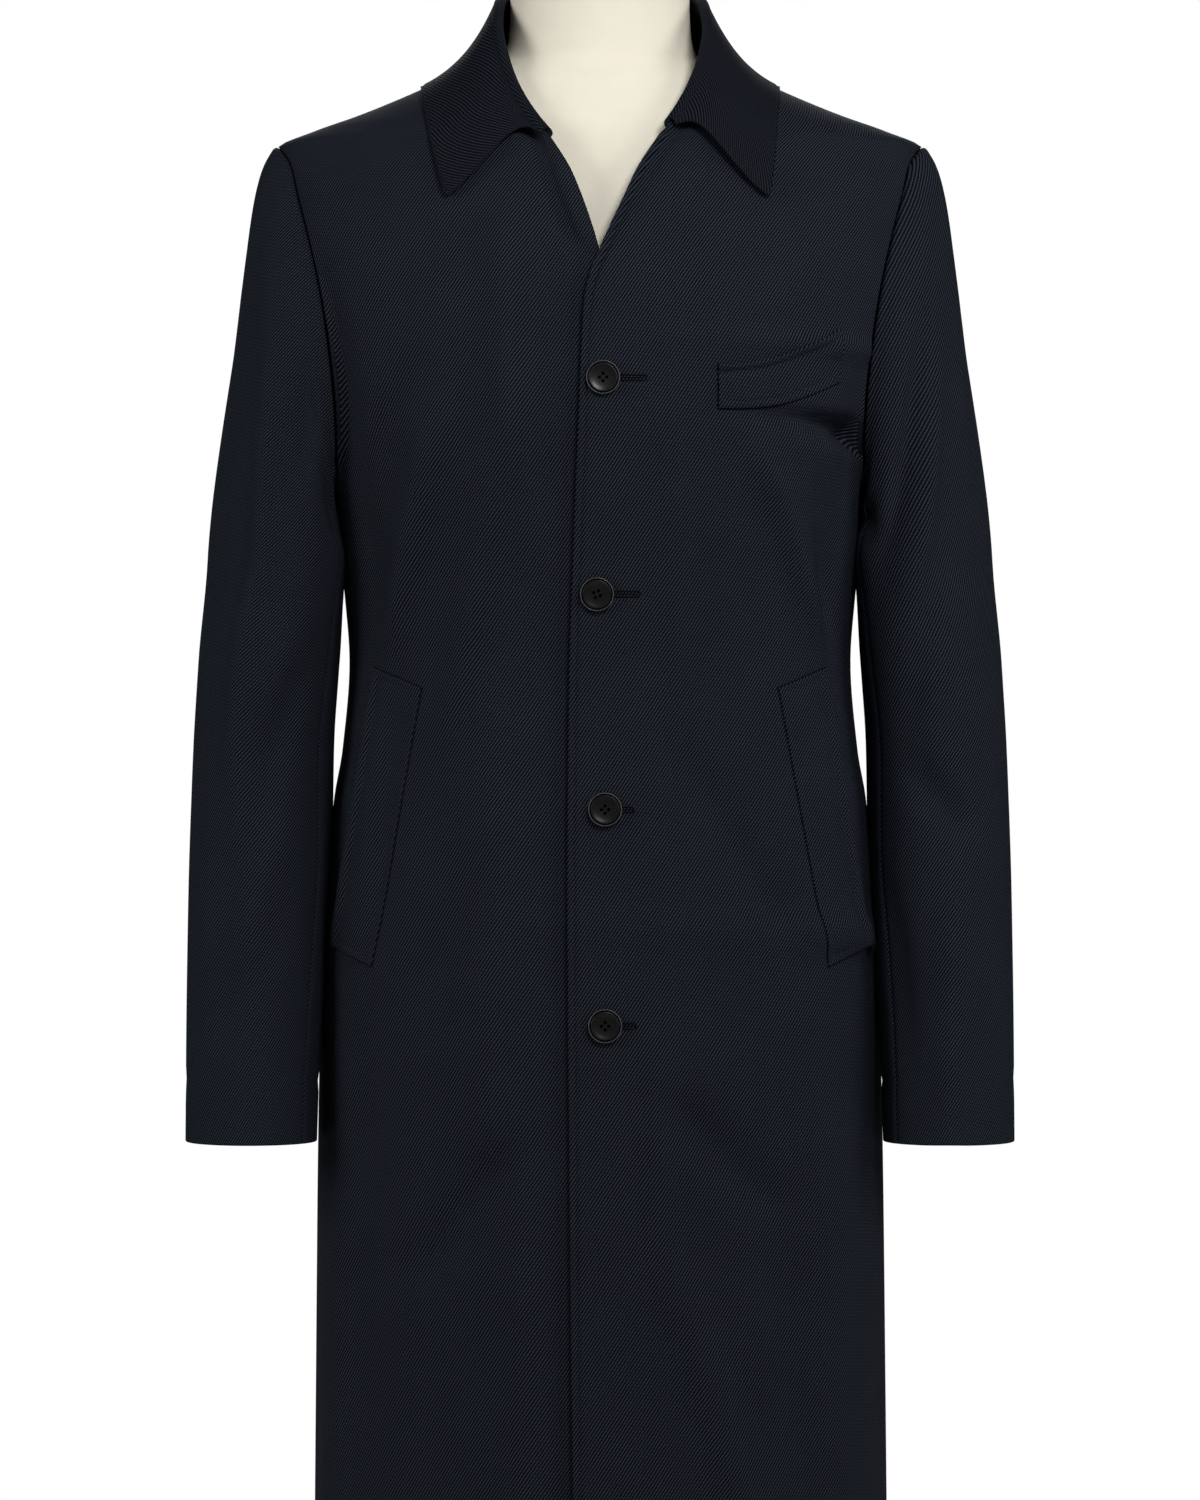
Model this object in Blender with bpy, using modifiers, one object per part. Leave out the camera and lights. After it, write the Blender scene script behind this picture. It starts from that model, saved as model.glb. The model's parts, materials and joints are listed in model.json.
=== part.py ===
"""A knee-length single-breasted overcoat of heavy wool twill, hung on a tailor's dress form.

Units are metres, +Z is up and the floor is z = 0. The coat faces -Y, so its wearer's left is +X.
Every cloth piece is cut from one body surface or from a sleeve surface, so that neighbours meet at seams.
"""

from collections import namedtuple
from math import cos, pi, radians, sin

import bmesh
import bpy
import numpy as np
from mathutils import Matrix, Vector

# Cloth and seams
CLOTH = 0.0020          # thickness of the coat's wool
SEAM = 0.0004           # gap between two pieces along a seam
LAP_GAP = 0.0008        # gap between two layers that lie on each other
STEP_DEG = 20           # spacing of the rows round an armhole

# Heights on the coat
HEM_Z = 0.450
UNDERARM_Z = 1.207
SHOULDER_TIP_Z = 1.449
NECK_FRONT_Z = 1.4465
NECK_SIDE_Z = 1.509
NECK_BACK_Z = 1.525
V_CROSS_Z = 1.360       # where the two front edges cross, at the foot of the neck opening
VENT_TOP_Z = 0.890
VENT_LAP = 0.045
SKIRT_ROWS = (
    HEM_Z, 0.51, 0.58, 0.655, 0.73, 0.80, 0.86, 0.89, 0.92, 0.95, 0.98, 1.01, 1.04, 1.07, 1.10, 1.13, 1.165,
)                       # heights of the rows below the armhole, closest where the waist curves

# The body's horizontal sections: half width, depth to the front and to the back, and squareness
Section = namedtuple("Section", "z half_width front back square")
BODY = (
    Section(0.450, 0.1960, 0.1520, 0.1520, 0.040),
    Section(0.600, 0.1945, 0.1470, 0.1515, 0.040),
    Section(0.760, 0.1925, 0.1410, 0.1505, 0.050),
    Section(0.900, 0.1875, 0.1340, 0.1460, 0.050),
    Section(1.006, 0.1790, 0.1275, 0.1330, 0.050),
    Section(1.040, 0.1745, 0.1255, 0.1275, 0.050),
    Section(1.100, 0.1695, 0.1240, 0.1205, 0.055),
    Section(1.142, 0.1715, 0.1260, 0.1195, 0.060),
    Section(1.207, 0.1800, 0.1315, 0.1225, 0.075),
    Section(1.260, 0.1905, 0.1340, 0.1265, 0.085),
    Section(1.328, 0.2025, 0.1300, 0.1295, 0.090),
    Section(1.386, 0.2105, 0.1185, 0.1260, 0.098),
    Section(1.420, 0.2150, 0.1095, 0.1190, 0.095),
    Section(1.440, 0.2186, 0.1030, 0.1130, 0.085),
    Section(1.4475, 0.2192, 0.1000, 0.1105, 0.080),
    Section(1.4586, 0.1960, 0.0955, 0.1060, 0.060),
    Section(1.469, 0.1672, 0.0905, 0.1025, 0.035),
    Section(1.479, 0.1425, 0.0855, 0.0990, 0.015),
    Section(1.489, 0.1198, 0.0805, 0.0950, 0.000),
    Section(1.500, 0.0960, 0.0755, 0.0905, 0.000),
    Section(1.509, 0.0780, 0.0715, 0.0865, 0.000),
    Section(1.525, 0.0700, 0.0660, 0.0790, 0.000),
)

# The shoulders round over towards the front and back: less half width there, most at one height
SHOULDER_ROUND = 0.0150
SHOULDER_ROUND_Z = 1.445
SHOULDER_ROUND_SPREAD = 0.018

# The large soft folds of the skirt, which grow from nothing at their top to full depth at the hem
Fold = namedtuple("Fold", "angle_deg spread_deg depth top_z")
FOLDS = (
    Fold(-58, 9, 0.0050, 0.98),
    Fold(-34, 11, -0.0040, 0.92),
    Fold(24, 10, -0.0035, 0.90),
    Fold(48, 10, 0.0045, 0.96),
    Fold(76, 9, -0.0040, 0.94),
    Fold(-82, 9, -0.0040, 0.96),
    Fold(112, 10, 0.0050, 1.00),
    Fold(-114, 10, 0.0055, 0.98),
    Fold(138, 10, -0.0050, 0.98),
    Fold(-140, 10, -0.0045, 1.00),
    Fold(160, 8, 0.0040, 0.94),
    Fold(-162, 8, 0.0040, 0.92),
)

# The edges of the two fronts, from the hem to the neckline, as distances to the wearer's left
Edge = namedtuple("Edge", "z left right")
FRONT_EDGE = (
    Edge(0.450, -0.0165, 0.0185),
    Edge(0.750, -0.0200, 0.0185),
    Edge(0.950, -0.0215, 0.0185),
    Edge(1.080, -0.0205, 0.0185),
    Edge(1.180, -0.0172, 0.0180),
    Edge(1.250, -0.0145, 0.0165),
    Edge(1.304, -0.0112, 0.0100),
    Edge(1.340, -0.0084, 0.0010),
    Edge(1.362, -0.0050, -0.0066),
    Edge(1.403, 0.0120, -0.0207),
    Edge(1.4265, 0.0268, -0.0289),
    Edge(1.4465, 0.0405, -0.0355),
)

# Seams round the body, as angles from centre front
SIDE_SEAM = radians(98)
SHOULDER_SEAM = radians(90)
CENTRE_BACK = pi
ARMHOLE_FRONT = radians(32)   # how far the armhole reaches to the front of the shoulder seam
ARMHOLE_BACK = radians(33)
ARMHOLE_SCOOP = 0.25          # how much further it reaches low down at the front
NECK_SIDE_CURVE = 3.0         # how soon the neckline turns upwards

# The sleeve's sections below the armhole, at the wearer's left
SleeveSection = namedtuple("SleeveSection", "z x y half_width half_depth turn_deg")
SLEEVE = (
    SleeveSection(1.165, 0.2220, -0.0040, 0.0385, 0.0700, 28),
    SleeveSection(1.100, 0.2258, -0.0040, 0.0451, 0.0660, 20),
    SleeveSection(1.040, 0.2290, -0.0060, 0.0468, 0.0620, 12),
    SleeveSection(0.970, 0.2307, -0.0140, 0.0474, 0.0585, 8),
    SleeveSection(0.900, 0.2323, -0.0270, 0.0464, 0.0550, 6),
    SleeveSection(0.830, 0.2336, -0.0405, 0.0450, 0.0515, 5),
    SleeveSection(0.7775, 0.2341, -0.0515, 0.0441, 0.0480, 5),
)
SLEEVE_SEAMS_DEG = (140, 220)   # forearm and hindarm seams, counted from the outside through the front
SLEEVE_SPREAD = radians(30)     # how far lines from the armhole's front and back spread to the outside
CAP_ROWS = 8
ARM_ROWS = 12

# The collar: its fold above the neckline and the outer edge of its fall
CollarShape = namedtuple("CollarShape", "share height lift lean steep clear")
COLLAR = (
    CollarShape(0.00, 0.0060, 0.0045, 0.0000, 0.00, 0.0030),
    CollarShape(0.25, 0.0230, 0.0020, 0.0085, 0.55, 0.0020),
    CollarShape(0.50, 0.0425, 0.0000, 0.0100, 1.00, 0.0018),
    CollarShape(0.75, 0.0440, 0.0000, 0.0070, 1.00, 0.0018),
    CollarShape(1.00, 0.0430, 0.0000, 0.0065, 1.00, 0.0018),
)
Corner = namedtuple("Corner", "x z")
COLLAR_TIP = {1: Corner(0.1120, 1.408), -1: Corner(0.1010, 1.408)}   # wearer's left and right
COLLAR_SHOULDER_Z = 1.4885
COLLAR_BACK_Z = 1.498
COLLAR_FOLD_RADIUS = 0.0040
COLLAR_FRONT_RISE = 0.0018    # extra clearance above the neckline at the collar's front ends
COLLAR_STEPS = 12

# Pockets, placed on the fronts as seen from in front
WELT_THICKNESS = 0.0016
WELT_GAP = 0.0006
CHEST_WELT = {
    "low_in": Corner(0.0780, 1.2660),
    "low_out": Corner(0.1590, 1.2870),
    "high_out": Corner(0.1585, 1.3140),
    "high_in": Corner(0.0775, 1.2930),
}
CHEST_WELT_SAG = 0.0065
SIDE_WELT = {
    "low_in": Corner(0.1515, 0.8960),
    "low_out": Corner(0.1795, 0.9090),
    "high_out": Corner(0.1505, 1.0950),
    "high_in": Corner(0.1180, 1.0810),
}

# Buttons
BUTTON_DIAMETER = 0.0229
BUTTON_THICKNESS = 0.0040
BUTTON_HOLE = 0.0018
BUTTON_HOLE_SPACING = 0.0034
BUTTON_X = (0.0020, -0.0020, 0.0033, 0.0033)   # from the top button down
BUTTON_TOP_Z = 1.2848
BUTTON_PITCH = 0.1421

# The dress form and its stand
SHOULDER_EASE = Section(0, 0.0070, 0.0070, 0.0068, 0)   # level room between the coat's face and the form
SHOULDER_ROWS = (1.4586, 1.469, 1.479, 1.489)           # heights where the coat rests on the form
FORM = (
    Section(0.800, 0.1600, 0.1020, 0.1180, 0.030),
    Section(0.812, 0.1660, 0.1080, 0.1240, 0.030),
    Section(0.900, 0.1690, 0.1110, 0.1280, 0.040),
    Section(1.000, 0.1570, 0.1050, 0.1140, 0.040),
    Section(1.100, 0.1470, 0.1010, 0.0990, 0.040),
    Section(1.200, 0.1590, 0.1120, 0.1090, 0.050),
    Section(1.300, 0.1760, 0.1180, 0.1180, 0.060),
    Section(1.380, 0.1860, 0.1080, 0.1160, 0.060),
    Section(1.430, 0.1900, 0.0955, 0.1070, 0.035),
    Section(1.500, 0.0845, 0.0655, 0.0810, 0.000),
    Section(1.509, 0.0670, 0.0625, 0.0745, 0.000),
    Section(1.525, 0.0620, 0.0610, 0.0650, 0.000),
    Section(1.545, 0.0609, 0.0605, 0.0610, 0.000),
    Section(1.592, 0.0609, 0.0600, 0.0605, 0.000),
    Section(1.600, 0.0560, 0.0550, 0.0560, 0.000),
)
FORM_SIDES = 32
POLE_RADIUS = 0.016
BASE_RADIUS = 0.190
BASE_THICKNESS = 0.014
BASE_CHAMFER = 0.004
ROUND_STEPS = 32

# Finishes
NAVY_WOOL = ("navy_wool", (0.012, 0.016, 0.026), 0.85, 0.0)
HORN = ("dark_horn", (0.010, 0.010, 0.012), 0.30, 0.0)
LINEN = ("cream_linen", (0.78, 0.74, 0.64), 0.90, 0.0)
STEEL = ("dark_steel", (0.045, 0.045, 0.048), 0.35, 0.9)


# Scene and helpers

def clear_scene():
    for obj in list(bpy.data.objects):
        bpy.data.objects.remove(obj, do_unlink=True)


def new_collection(name):
    collection = bpy.data.collections.new(name)
    bpy.context.scene.collection.children.link(collection)
    return collection


def material(finish):
    name, colour, roughness, metallic = finish
    made = bpy.data.materials.get(name) or bpy.data.materials.new(name)
    made.use_nodes = True
    shader = made.node_tree.nodes["Principled BSDF"]
    shader.inputs["Base Color"].default_value = (*colour, 1.0)
    shader.inputs["Roughness"].default_value = roughness
    shader.inputs["Metallic"].default_value = metallic
    return made


def smooth_column(rows, key, name):
    """A function through one column of a table, smooth and with no overshoot between its rows."""
    order = sorted(rows, key=lambda row: getattr(row, key))
    at = np.array([getattr(row, key) for row in order])
    value = np.array([getattr(row, name) for row in order])
    step = np.diff(at)
    rise = np.diff(value) / step
    slope = np.empty_like(value)
    slope[0], slope[-1] = rise[0], rise[-1]
    before, after = rise[:-1], rise[1:]
    same_way = before * after > 0
    total = np.where(same_way, before + after, 1.0)
    slope[1:-1] = np.where(same_way, 2 * before * after / total, 0.0)

    def column(x):
        x = np.clip(np.asarray(x, float), at[0], at[-1])
        i = np.clip(np.searchsorted(at, x, side="right") - 1, 0, len(step) - 1)
        h, u = step[i], (x - at[i]) / step[i]
        return (
            value[i] * (1 + 2 * u) * (1 - u) ** 2
            + slope[i] * h * u * (1 - u) ** 2
            + value[i + 1] * u * u * (3 - 2 * u)
            + slope[i + 1] * h * u * u * (u - 1)
        )

    return column


def ease(x, low, high):
    """0 below low and 1 above high, rising smoothly between them."""
    u = np.clip((x - low) / (high - low), 0.0, 1.0)
    return u * u * (3 - 2 * u)


def unit(v):
    return v / np.linalg.norm(v, axis=-1, keepdims=True)


# The body surface: an angle from centre front, positive to the wearer's left, and a height

class Sections:
    """A stack of horizontal ovals, given by a table of sections."""

    def __init__(self, rows, folds=()):
        self.half_width = smooth_column(rows, "z", "half_width")
        self.front = smooth_column(rows, "z", "front")
        self.back = smooth_column(rows, "z", "back")
        self.square = smooth_column(rows, "z", "square")
        self.folds = folds

    def fold_depth(self, angle, z):
        depth = np.zeros(np.broadcast(angle, z).shape)
        for fold in self.folds:
            away = (angle - radians(fold.angle_deg) + pi) % (2 * pi) - pi
            ridge = np.exp(-((away / radians(fold.spread_deg)) ** 2))
            depth = depth + fold.depth * ridge * ease(-z, -fold.top_z, -HEM_Z)
        return depth

    def point(self, angle, z):
        angle, z = np.broadcast_arrays(np.asarray(angle, float), np.asarray(z, float))
        depth = np.where(np.cos(angle) > 0, self.front(z), self.back(z))
        corner = 1 + self.square(z) * np.sin(2 * angle) ** 2
        lift = self.fold_depth(angle, z)
        away = ease(np.cos(angle) ** 2, 0.0, 0.35)
        rounding = SHOULDER_ROUND * away * np.exp(-(((z - SHOULDER_ROUND_Z) / SHOULDER_ROUND_SPREAD) ** 2))
        x = np.sin(angle) * ((self.half_width(z) - rounding) * corner + lift)
        y = -np.cos(angle) * (depth * corner + lift)
        return np.stack([x, y, z], axis=-1)

    def normal(self, angle, z, step=1e-4):
        round_body = self.point(angle + step, z) - self.point(angle - step, z)
        upwards = self.point(angle, z + step) - self.point(angle, z - step)
        return unit(np.cross(round_body, upwards))

    def off(self, angle, z, distance):
        """The point at a distance outside the surface."""
        return self.point(angle, z) + self.normal(angle, z) * np.asarray(distance)[..., None]

    def angle_at(self, x, z):
        """The angle on the front half where the surface is x to the side at height z."""
        x, z = np.broadcast_arrays(np.asarray(x, float), np.asarray(z, float))
        low, high = np.full(x.shape, -pi / 2), np.full(x.shape, pi / 2)
        for _ in range(45):
            middle = (low + high) / 2
            short = self.point(middle, z)[..., 0] < x
            low, high = np.where(short, middle, low), np.where(short, high, middle)
        return (low + high) / 2


coat = Sections(BODY, FOLDS)
form_rows = FORM + tuple(
    Section(
        z,
        float(coat.half_width(z)) - SHOULDER_EASE.half_width,
        float(coat.front(z)) - SHOULDER_EASE.front,
        float(coat.back(z)) - SHOULDER_EASE.back,
        float(coat.square(z)),
    )
    for z in SHOULDER_ROWS
)
form = Sections(form_rows)
front_edge_x = {
    1: smooth_column(FRONT_EDGE, "z", "left"),
    -1: smooth_column(FRONT_EDGE, "z", "right"),
}


# Outlines of the body panels

def armhole(turn):
    """(angle, height) on the armhole: turn 0 is the shoulder tip, then the front, the underarm and the back."""
    middle = (SHOULDER_TIP_Z + UNDERARM_Z) / 2
    half_height = (SHOULDER_TIP_Z - UNDERARM_Z) / 2
    z = middle + half_height * np.cos(turn)
    underarm = ease(-np.cos(turn), 0.0, 1.0)
    width = np.abs(np.sin(turn)) ** (0.60 - 0.10 * underarm)
    ends = SHOULDER_SEAM + (SIDE_SEAM - SHOULDER_SEAM) * underarm
    reach = np.where(np.sin(turn) >= 0, -ARMHOLE_FRONT * (1 + ARMHOLE_SCOOP * underarm), ARMHOLE_BACK)
    return ends + reach * width, z


def neck_front(share, side):
    """(x, height) of one side's neckline from the front edge, share 0, to the shoulder seam, share 1."""
    start = abs(float(front_edge_x[side](NECK_FRONT_Z)))
    end = float(coat.half_width(NECK_SIDE_Z))
    x = start + (end - start) * (1 - (1 - share) ** NECK_SIDE_CURVE)
    return x, NECK_FRONT_Z + (NECK_SIDE_Z - NECK_FRONT_Z) * (1 - (1 - share) ** 2)


def neck_back(share):
    """(angle, height) of the neckline from the shoulder seam, share 0, to centre back, share 1."""
    angle = SHOULDER_SEAM + (CENTRE_BACK - SHOULDER_SEAM) * share
    return angle, NECK_SIDE_Z + (NECK_BACK_Z - NECK_SIDE_Z) * np.sin(share * pi / 2)


def panel_heights(top_rows):
    """Heights of a body panel's rows: the skirt and waist, then the armhole, then the rows above it."""
    low = np.array(SKIRT_ROWS + (UNDERARM_Z,))
    turns = np.radians(np.arange(180 - STEP_DEG, -1, -STEP_DEG))
    return np.concatenate([low, armhole(turns)[1], top_rows])


def armhole_edge(z, back):
    """The angle of the side seam, armhole or shoulder seam at height z."""
    middle = (SHOULDER_TIP_Z + UNDERARM_Z) / 2
    turn = np.arccos(np.clip((z - middle) / (SHOULDER_TIP_Z - middle), -1, 1))
    angle = armhole(-turn if back else turn)[0]
    return np.where(z <= UNDERARM_Z, SIDE_SEAM, np.where(z >= SHOULDER_TIP_Z, SHOULDER_SEAM, angle))


def seam_shift(angle, z):
    """Half a seam's gap, as an angle at this place on the body."""
    across = coat.point(angle + 1e-3, z) - coat.point(angle - 1e-3, z)
    return SEAM / 2 / (np.linalg.norm(across, axis=-1) / 2e-3)


# Cloth walls

def wall_object(name, face, under, finish, collection):
    """A closed wall between two grids of points, its face and its underside."""
    rows, columns = face.shape[:2]
    mesh = bmesh.new()
    top = [[mesh.verts.new(p) for p in row] for row in face]
    low = [[mesh.verts.new(p) for p in row] for row in under]
    for r in range(rows - 1):
        for c in range(columns - 1):
            mesh.faces.new((top[r][c], top[r][c + 1], top[r + 1][c + 1], top[r + 1][c]))
            mesh.faces.new((low[r][c], low[r + 1][c], low[r + 1][c + 1], low[r][c + 1]))
    rim = [(0, c) for c in range(columns)]
    rim += [(r, columns - 1) for r in range(1, rows)]
    rim += [(rows - 1, c) for c in range(columns - 2, -1, -1)]
    rim += [(r, 0) for r in range(rows - 2, 0, -1)]
    for (r, c), (s, d) in zip(rim, rim[1:] + rim[:1]):
        mesh.faces.new((top[r][c], low[r][c], low[s][d], top[s][d]))
    return finished(name, mesh, finish, collection)


def finished(name, mesh, finish, collection):
    """An object made of a bmesh, with its faces pointing out and its flat edges kept sharp."""
    bmesh.ops.recalc_face_normals(mesh, faces=mesh.faces)
    data = bpy.data.meshes.new(name)
    mesh.to_mesh(data)
    mesh.free()
    data.shade_smooth()
    data.set_sharp_from_angle(angle=radians(40))
    data.materials.append(material(finish))
    obj = bpy.data.objects.new(name, data)
    collection.objects.link(obj)
    return obj


def panel(name, angle, z, sink, collection):
    """A body panel: a grid of angles and heights, its face sunk below the body surface by sink."""
    face = coat.off(angle, z, -sink)
    under = coat.off(angle, z, -sink - CLOTH)
    return wall_object(name, face, under, NAVY_WOOL, collection)


def spread(start, end, shares):
    """A grid of values from start to end, a row for each of their places."""
    return start[:, None] + (end - start)[:, None] * shares[None, :]


# Fronts

def make_front(side, collection):
    """One front, from its edge to the side seam; side is 1 for the wearer's left, which laps over."""
    top_shares = np.append(np.linspace(0, 1, COLLAR_STEPS // 2 + 1)[:-1], 0.97)
    heights = panel_heights(neck_front(top_shares, side)[1])
    heights = np.sort(np.append(heights, [V_CROSS_Z, 1.404, 1.4265, 1.4545, 1.4595]))
    inner_x = front_edge_x[side](heights) * side
    rise = np.clip((heights - NECK_FRONT_Z) / (NECK_SIDE_Z - NECK_FRONT_Z), 0, 1)
    inner_x = np.where(rise > 0, neck_front(1 - np.sqrt(1 - rise), side)[0], inner_x)
    inner = coat.angle_at(inner_x, heights)
    outer = armhole_edge(heights, back=False)
    outer = outer - seam_shift(outer, heights)
    shares = np.linspace(0, 1, 12) ** 1.3
    angle = spread(inner, outer, shares)
    z = np.repeat(heights[:, None], len(shares), axis=1)
    sink = np.zeros_like(angle)
    if side < 0:
        x = coat.point(angle, z)[..., 0]
        under_lap = ease(-x, -0.060, -0.030) * (1 - ease(z, V_CROSS_Z + 0.010, 1.420))
        sink = (CLOTH + LAP_GAP) * under_lap
    return panel("front_left" if side > 0 else "front_right", angle * side, z, sink, collection)


# Backs

def make_back(side, collection):
    """One half of the back, from centre back to the side seam; the left half laps over at the vent."""
    top_z = neck_back(np.append(np.linspace(0, 1, COLLAR_STEPS // 2 + 1)[1:-1], 0.97))[1]
    shoulder_z = np.linspace(SHOULDER_TIP_Z, NECK_SIDE_Z, 7)[1:]
    heights = panel_heights(np.concatenate([shoulder_z, top_z]))
    heights = np.sort(heights)
    outer = armhole_edge(heights, back=True)
    rise = np.clip((heights - NECK_SIDE_Z) / (NECK_BACK_Z - NECK_SIDE_Z), 0, 1)
    neck = neck_back(np.arcsin(rise) / (pi / 2))[0]
    outer = np.where(heights > NECK_SIDE_Z, neck, outer)
    outer = outer + np.where(heights > NECK_SIDE_Z, 0, seam_shift(outer, heights))
    lap = np.zeros_like(heights)
    if side < 0:
        lap = VENT_LAP * ease(-heights, -VENT_TOP_Z, -VENT_TOP_Z + 0.030)
    inner = CENTRE_BACK - seam_shift(CENTRE_BACK, heights) + lap / coat.back(heights) * 0.72
    shares = np.linspace(0, 1, 10) ** 1.2
    angle = spread(inner, outer, shares)
    z = np.repeat(heights[:, None], len(shares), axis=1)
    sink = np.zeros_like(angle)
    if side < 0:
        at_centre = ease(angle, CENTRE_BACK - 0.20, CENTRE_BACK - 0.06)
        sink = (CLOTH + LAP_GAP) * at_centre * (1 - ease(z, VENT_TOP_Z, VENT_TOP_Z + 0.05))
    return panel("back_left" if side > 0 else "back_right", angle * side, z, sink, collection)


# Sleeves: a turn round the arm, 0 outside, then front, inside and back, and a run from 0 to 2

sleeve_at = {
    name: smooth_column(SLEEVE, "z", name)
    for name in SleeveSection._fields[1:]
}


def sleeve_ring(turn, z):
    """A point on the sleeve below the armhole."""
    twist = np.radians(sleeve_at["turn_deg"](z))
    out = sleeve_at["half_width"](z) * np.cos(turn)
    ahead = sleeve_at["half_depth"](z) * np.sin(turn)
    x = sleeve_at["x"](z) + out * np.cos(twist) - ahead * np.sin(twist)
    y = sleeve_at["y"](z) - ahead * np.cos(twist) - out * np.sin(twist)
    return np.stack(np.broadcast_arrays(x, y, z), axis=-1)


def ring_turn(turn, run):
    """Where a line that starts at this turn on the armhole lies round the arm, further down the sleeve."""
    return turn - SLEEVE_SPREAD * np.sin(turn) * (1 - ease(run, 1.0, 1.6))


def sleeve_cap(turn, run):
    """A point on the sleeve head: curves that leave the armhole outwards and turn down into the arm."""
    angle, z = armhole(turn)
    start = coat.point(angle, z)
    high = ((1 + np.cos(turn)) / 2)[..., None]
    leave = high * np.array([0.90, 0.0, -0.43]) + (1 - high) * np.array([0.55, 0.0, -0.83])
    leave = unit(leave + np.sin(turn)[..., None] * np.array([0.0, -0.30, 0.0]))
    start = start + leave * SEAM
    end = sleeve_ring(ring_turn(turn, 1.0), np.full(np.shape(turn), SLEEVE[0].z))
    upwards = unit(np.array([0.0, 0.0, 1.0]) + high * np.array([-0.07, 0.0, 0.0]))
    near_start = start + leave * (0.012 + 0.011 * high + 0.012 * np.abs(np.sin(turn))[..., None])
    near_end = end + upwards * (0.020 + 0.180 * high)
    u = np.asarray(run)[..., None]
    return (
        start * (1 - u) ** 3
        + near_start * 3 * u * (1 - u) ** 2
        + near_end * 3 * u * u * (1 - u)
        + end * u ** 3
    )


def sleeve_point(turn, run):
    turn, run = np.broadcast_arrays(np.asarray(turn, float), np.asarray(run, float))
    drop = SLEEVE[0].z + (SLEEVE[-1].z - SLEEVE[0].z) * np.clip(run - 1, 0, 1)
    cap = sleeve_cap(turn, np.clip(run, 0, 1))
    return np.where((run <= 1)[..., None], cap, sleeve_ring(ring_turn(turn, run), drop))


def sleeve_normal(turn, run, step=2e-3):
    round_arm = sleeve_point(turn + step, run) - sleeve_point(turn - step, run)
    low, high = np.maximum(run - step, 0), np.minimum(run + step, 2)
    along = sleeve_point(turn, high) - sleeve_point(turn, low)
    return unit(np.cross(round_arm, along))


def make_sleeve(side, collection):
    """The top sleeve and the under sleeve of one arm."""
    first, last = SLEEVE_SEAMS_DEG
    pieces = (("sleeve_top", last - 360, first), ("sleeve_under", first, last))
    runs = np.concatenate([np.linspace(0, 1, CAP_ROWS + 1), 1 + np.linspace(0, 1, ARM_ROWS + 1)[1:]])
    gap = SEAM / 2 / SLEEVE[-1].half_width
    for name, start, end in pieces:
        turns = np.radians(np.arange(start, end + 1, STEP_DEG, dtype=float))
        turns[0] += gap
        turns[-1] -= gap
        turn, run = np.meshgrid(turns, runs)
        face = sleeve_point(turn, run)
        under = face - sleeve_normal(turn, run) * CLOTH
        mirror = np.array([side, 1, 1])
        label = "left" if side > 0 else "right"
        wall_object(f"{name}_{label}", face * mirror, under * mirror, NAVY_WOOL, collection)


# Collar: a share of the way from its front end, 0, round the neck to centre back, 1

collar_at = {
    name: smooth_column(COLLAR, "share", name)
    for name in CollarShape._fields[1:]
}


def collar_lines(share, side):
    """Neckline point, the fold's lift off it, outer edge point and the body's normal there."""
    if share <= 0.5:
        x, z = neck_front(share * 2, side)
        angle = coat.angle_at(x, z)
        tip = COLLAR_TIP[side]
        rise = 1 - (1 - share * 2) ** 2
        edge_z = tip.z + (COLLAR_SHOULDER_Z - tip.z) * rise
        shoulder_x = float(coat.half_width(COLLAR_SHOULDER_Z))
        edge_x = tip.x + (shoulder_x - tip.x) * rise ** 0.8
        edge_angle = coat.angle_at(edge_x, edge_z)
    else:
        angle, z = neck_back(share * 2 - 1)
        edge_angle = SHOULDER_SEAM + (CENTRE_BACK - SHOULDER_SEAM) * (share * 2 - 1)
        edge_z = COLLAR_SHOULDER_Z + (COLLAR_BACK_Z - COLLAR_SHOULDER_Z) * (share * 2 - 1)
    neck = coat.point(angle, z)
    lift = coat.normal(angle, z) * collar_at["lift"](share)
    edge = coat.off(edge_angle, edge_z, CLOTH + collar_at["clear"](share))
    return neck, lift, edge, coat.normal(edge_angle, edge_z)


def collar_section(share, side):
    """The collar's face from the neckline up the stand, over the fold and down the fall."""
    neck, lift, edge, normal = collar_lines(share, side)
    up = np.array([0.0, 0.0, 1.0])
    inwards = unit(np.array([-neck[0], -neck[1], 0.0]))
    fold = neck + lift + inwards * collar_at["lean"](share) + up * collar_at["height"](share)
    outwards = unit((edge - fold) * np.array([1.0, 1.0, 0.0]))
    steep = collar_at["steep"](share)
    outwards = unit(outwards * (1 - steep) - inwards * steep)
    centre = fold - up * COLLAR_FOLD_RADIUS
    foot = neck + inwards * CLOTH + up * (SEAM + COLLAR_FRONT_RISE * (1 - steep))
    over = [
        centre + COLLAR_FOLD_RADIUS * (outwards * -cos(radians(a)) + up * sin(radians(a)))
        for a in (0, 45, 90, 135, 180)
    ]
    length = np.linalg.norm(edge - over[-1])
    straight = (edge - over[-1]) / length
    resting = unit(straight - normal * np.dot(straight, normal))
    falling = unit(outwards * 0.40 - up * 0.90)
    leave = unit(straight * (1 - steep) + falling * steep)
    near_start = over[-1] + leave * length * 0.35 + normal * length * 0.06 * (1 - steep)
    near_end = edge - resting * length * 0.38
    fall = [
        over[-1] * (1 - u) ** 3
        + near_start * 3 * u * (1 - u) ** 2
        + near_end * 3 * u * u * (1 - u)
        + edge * u ** 3
        for u in (0.25, 0.5, 0.75, 1.0)
    ]
    return np.array([foot, (foot + over[0]) / 2, *over, *fall])


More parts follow.
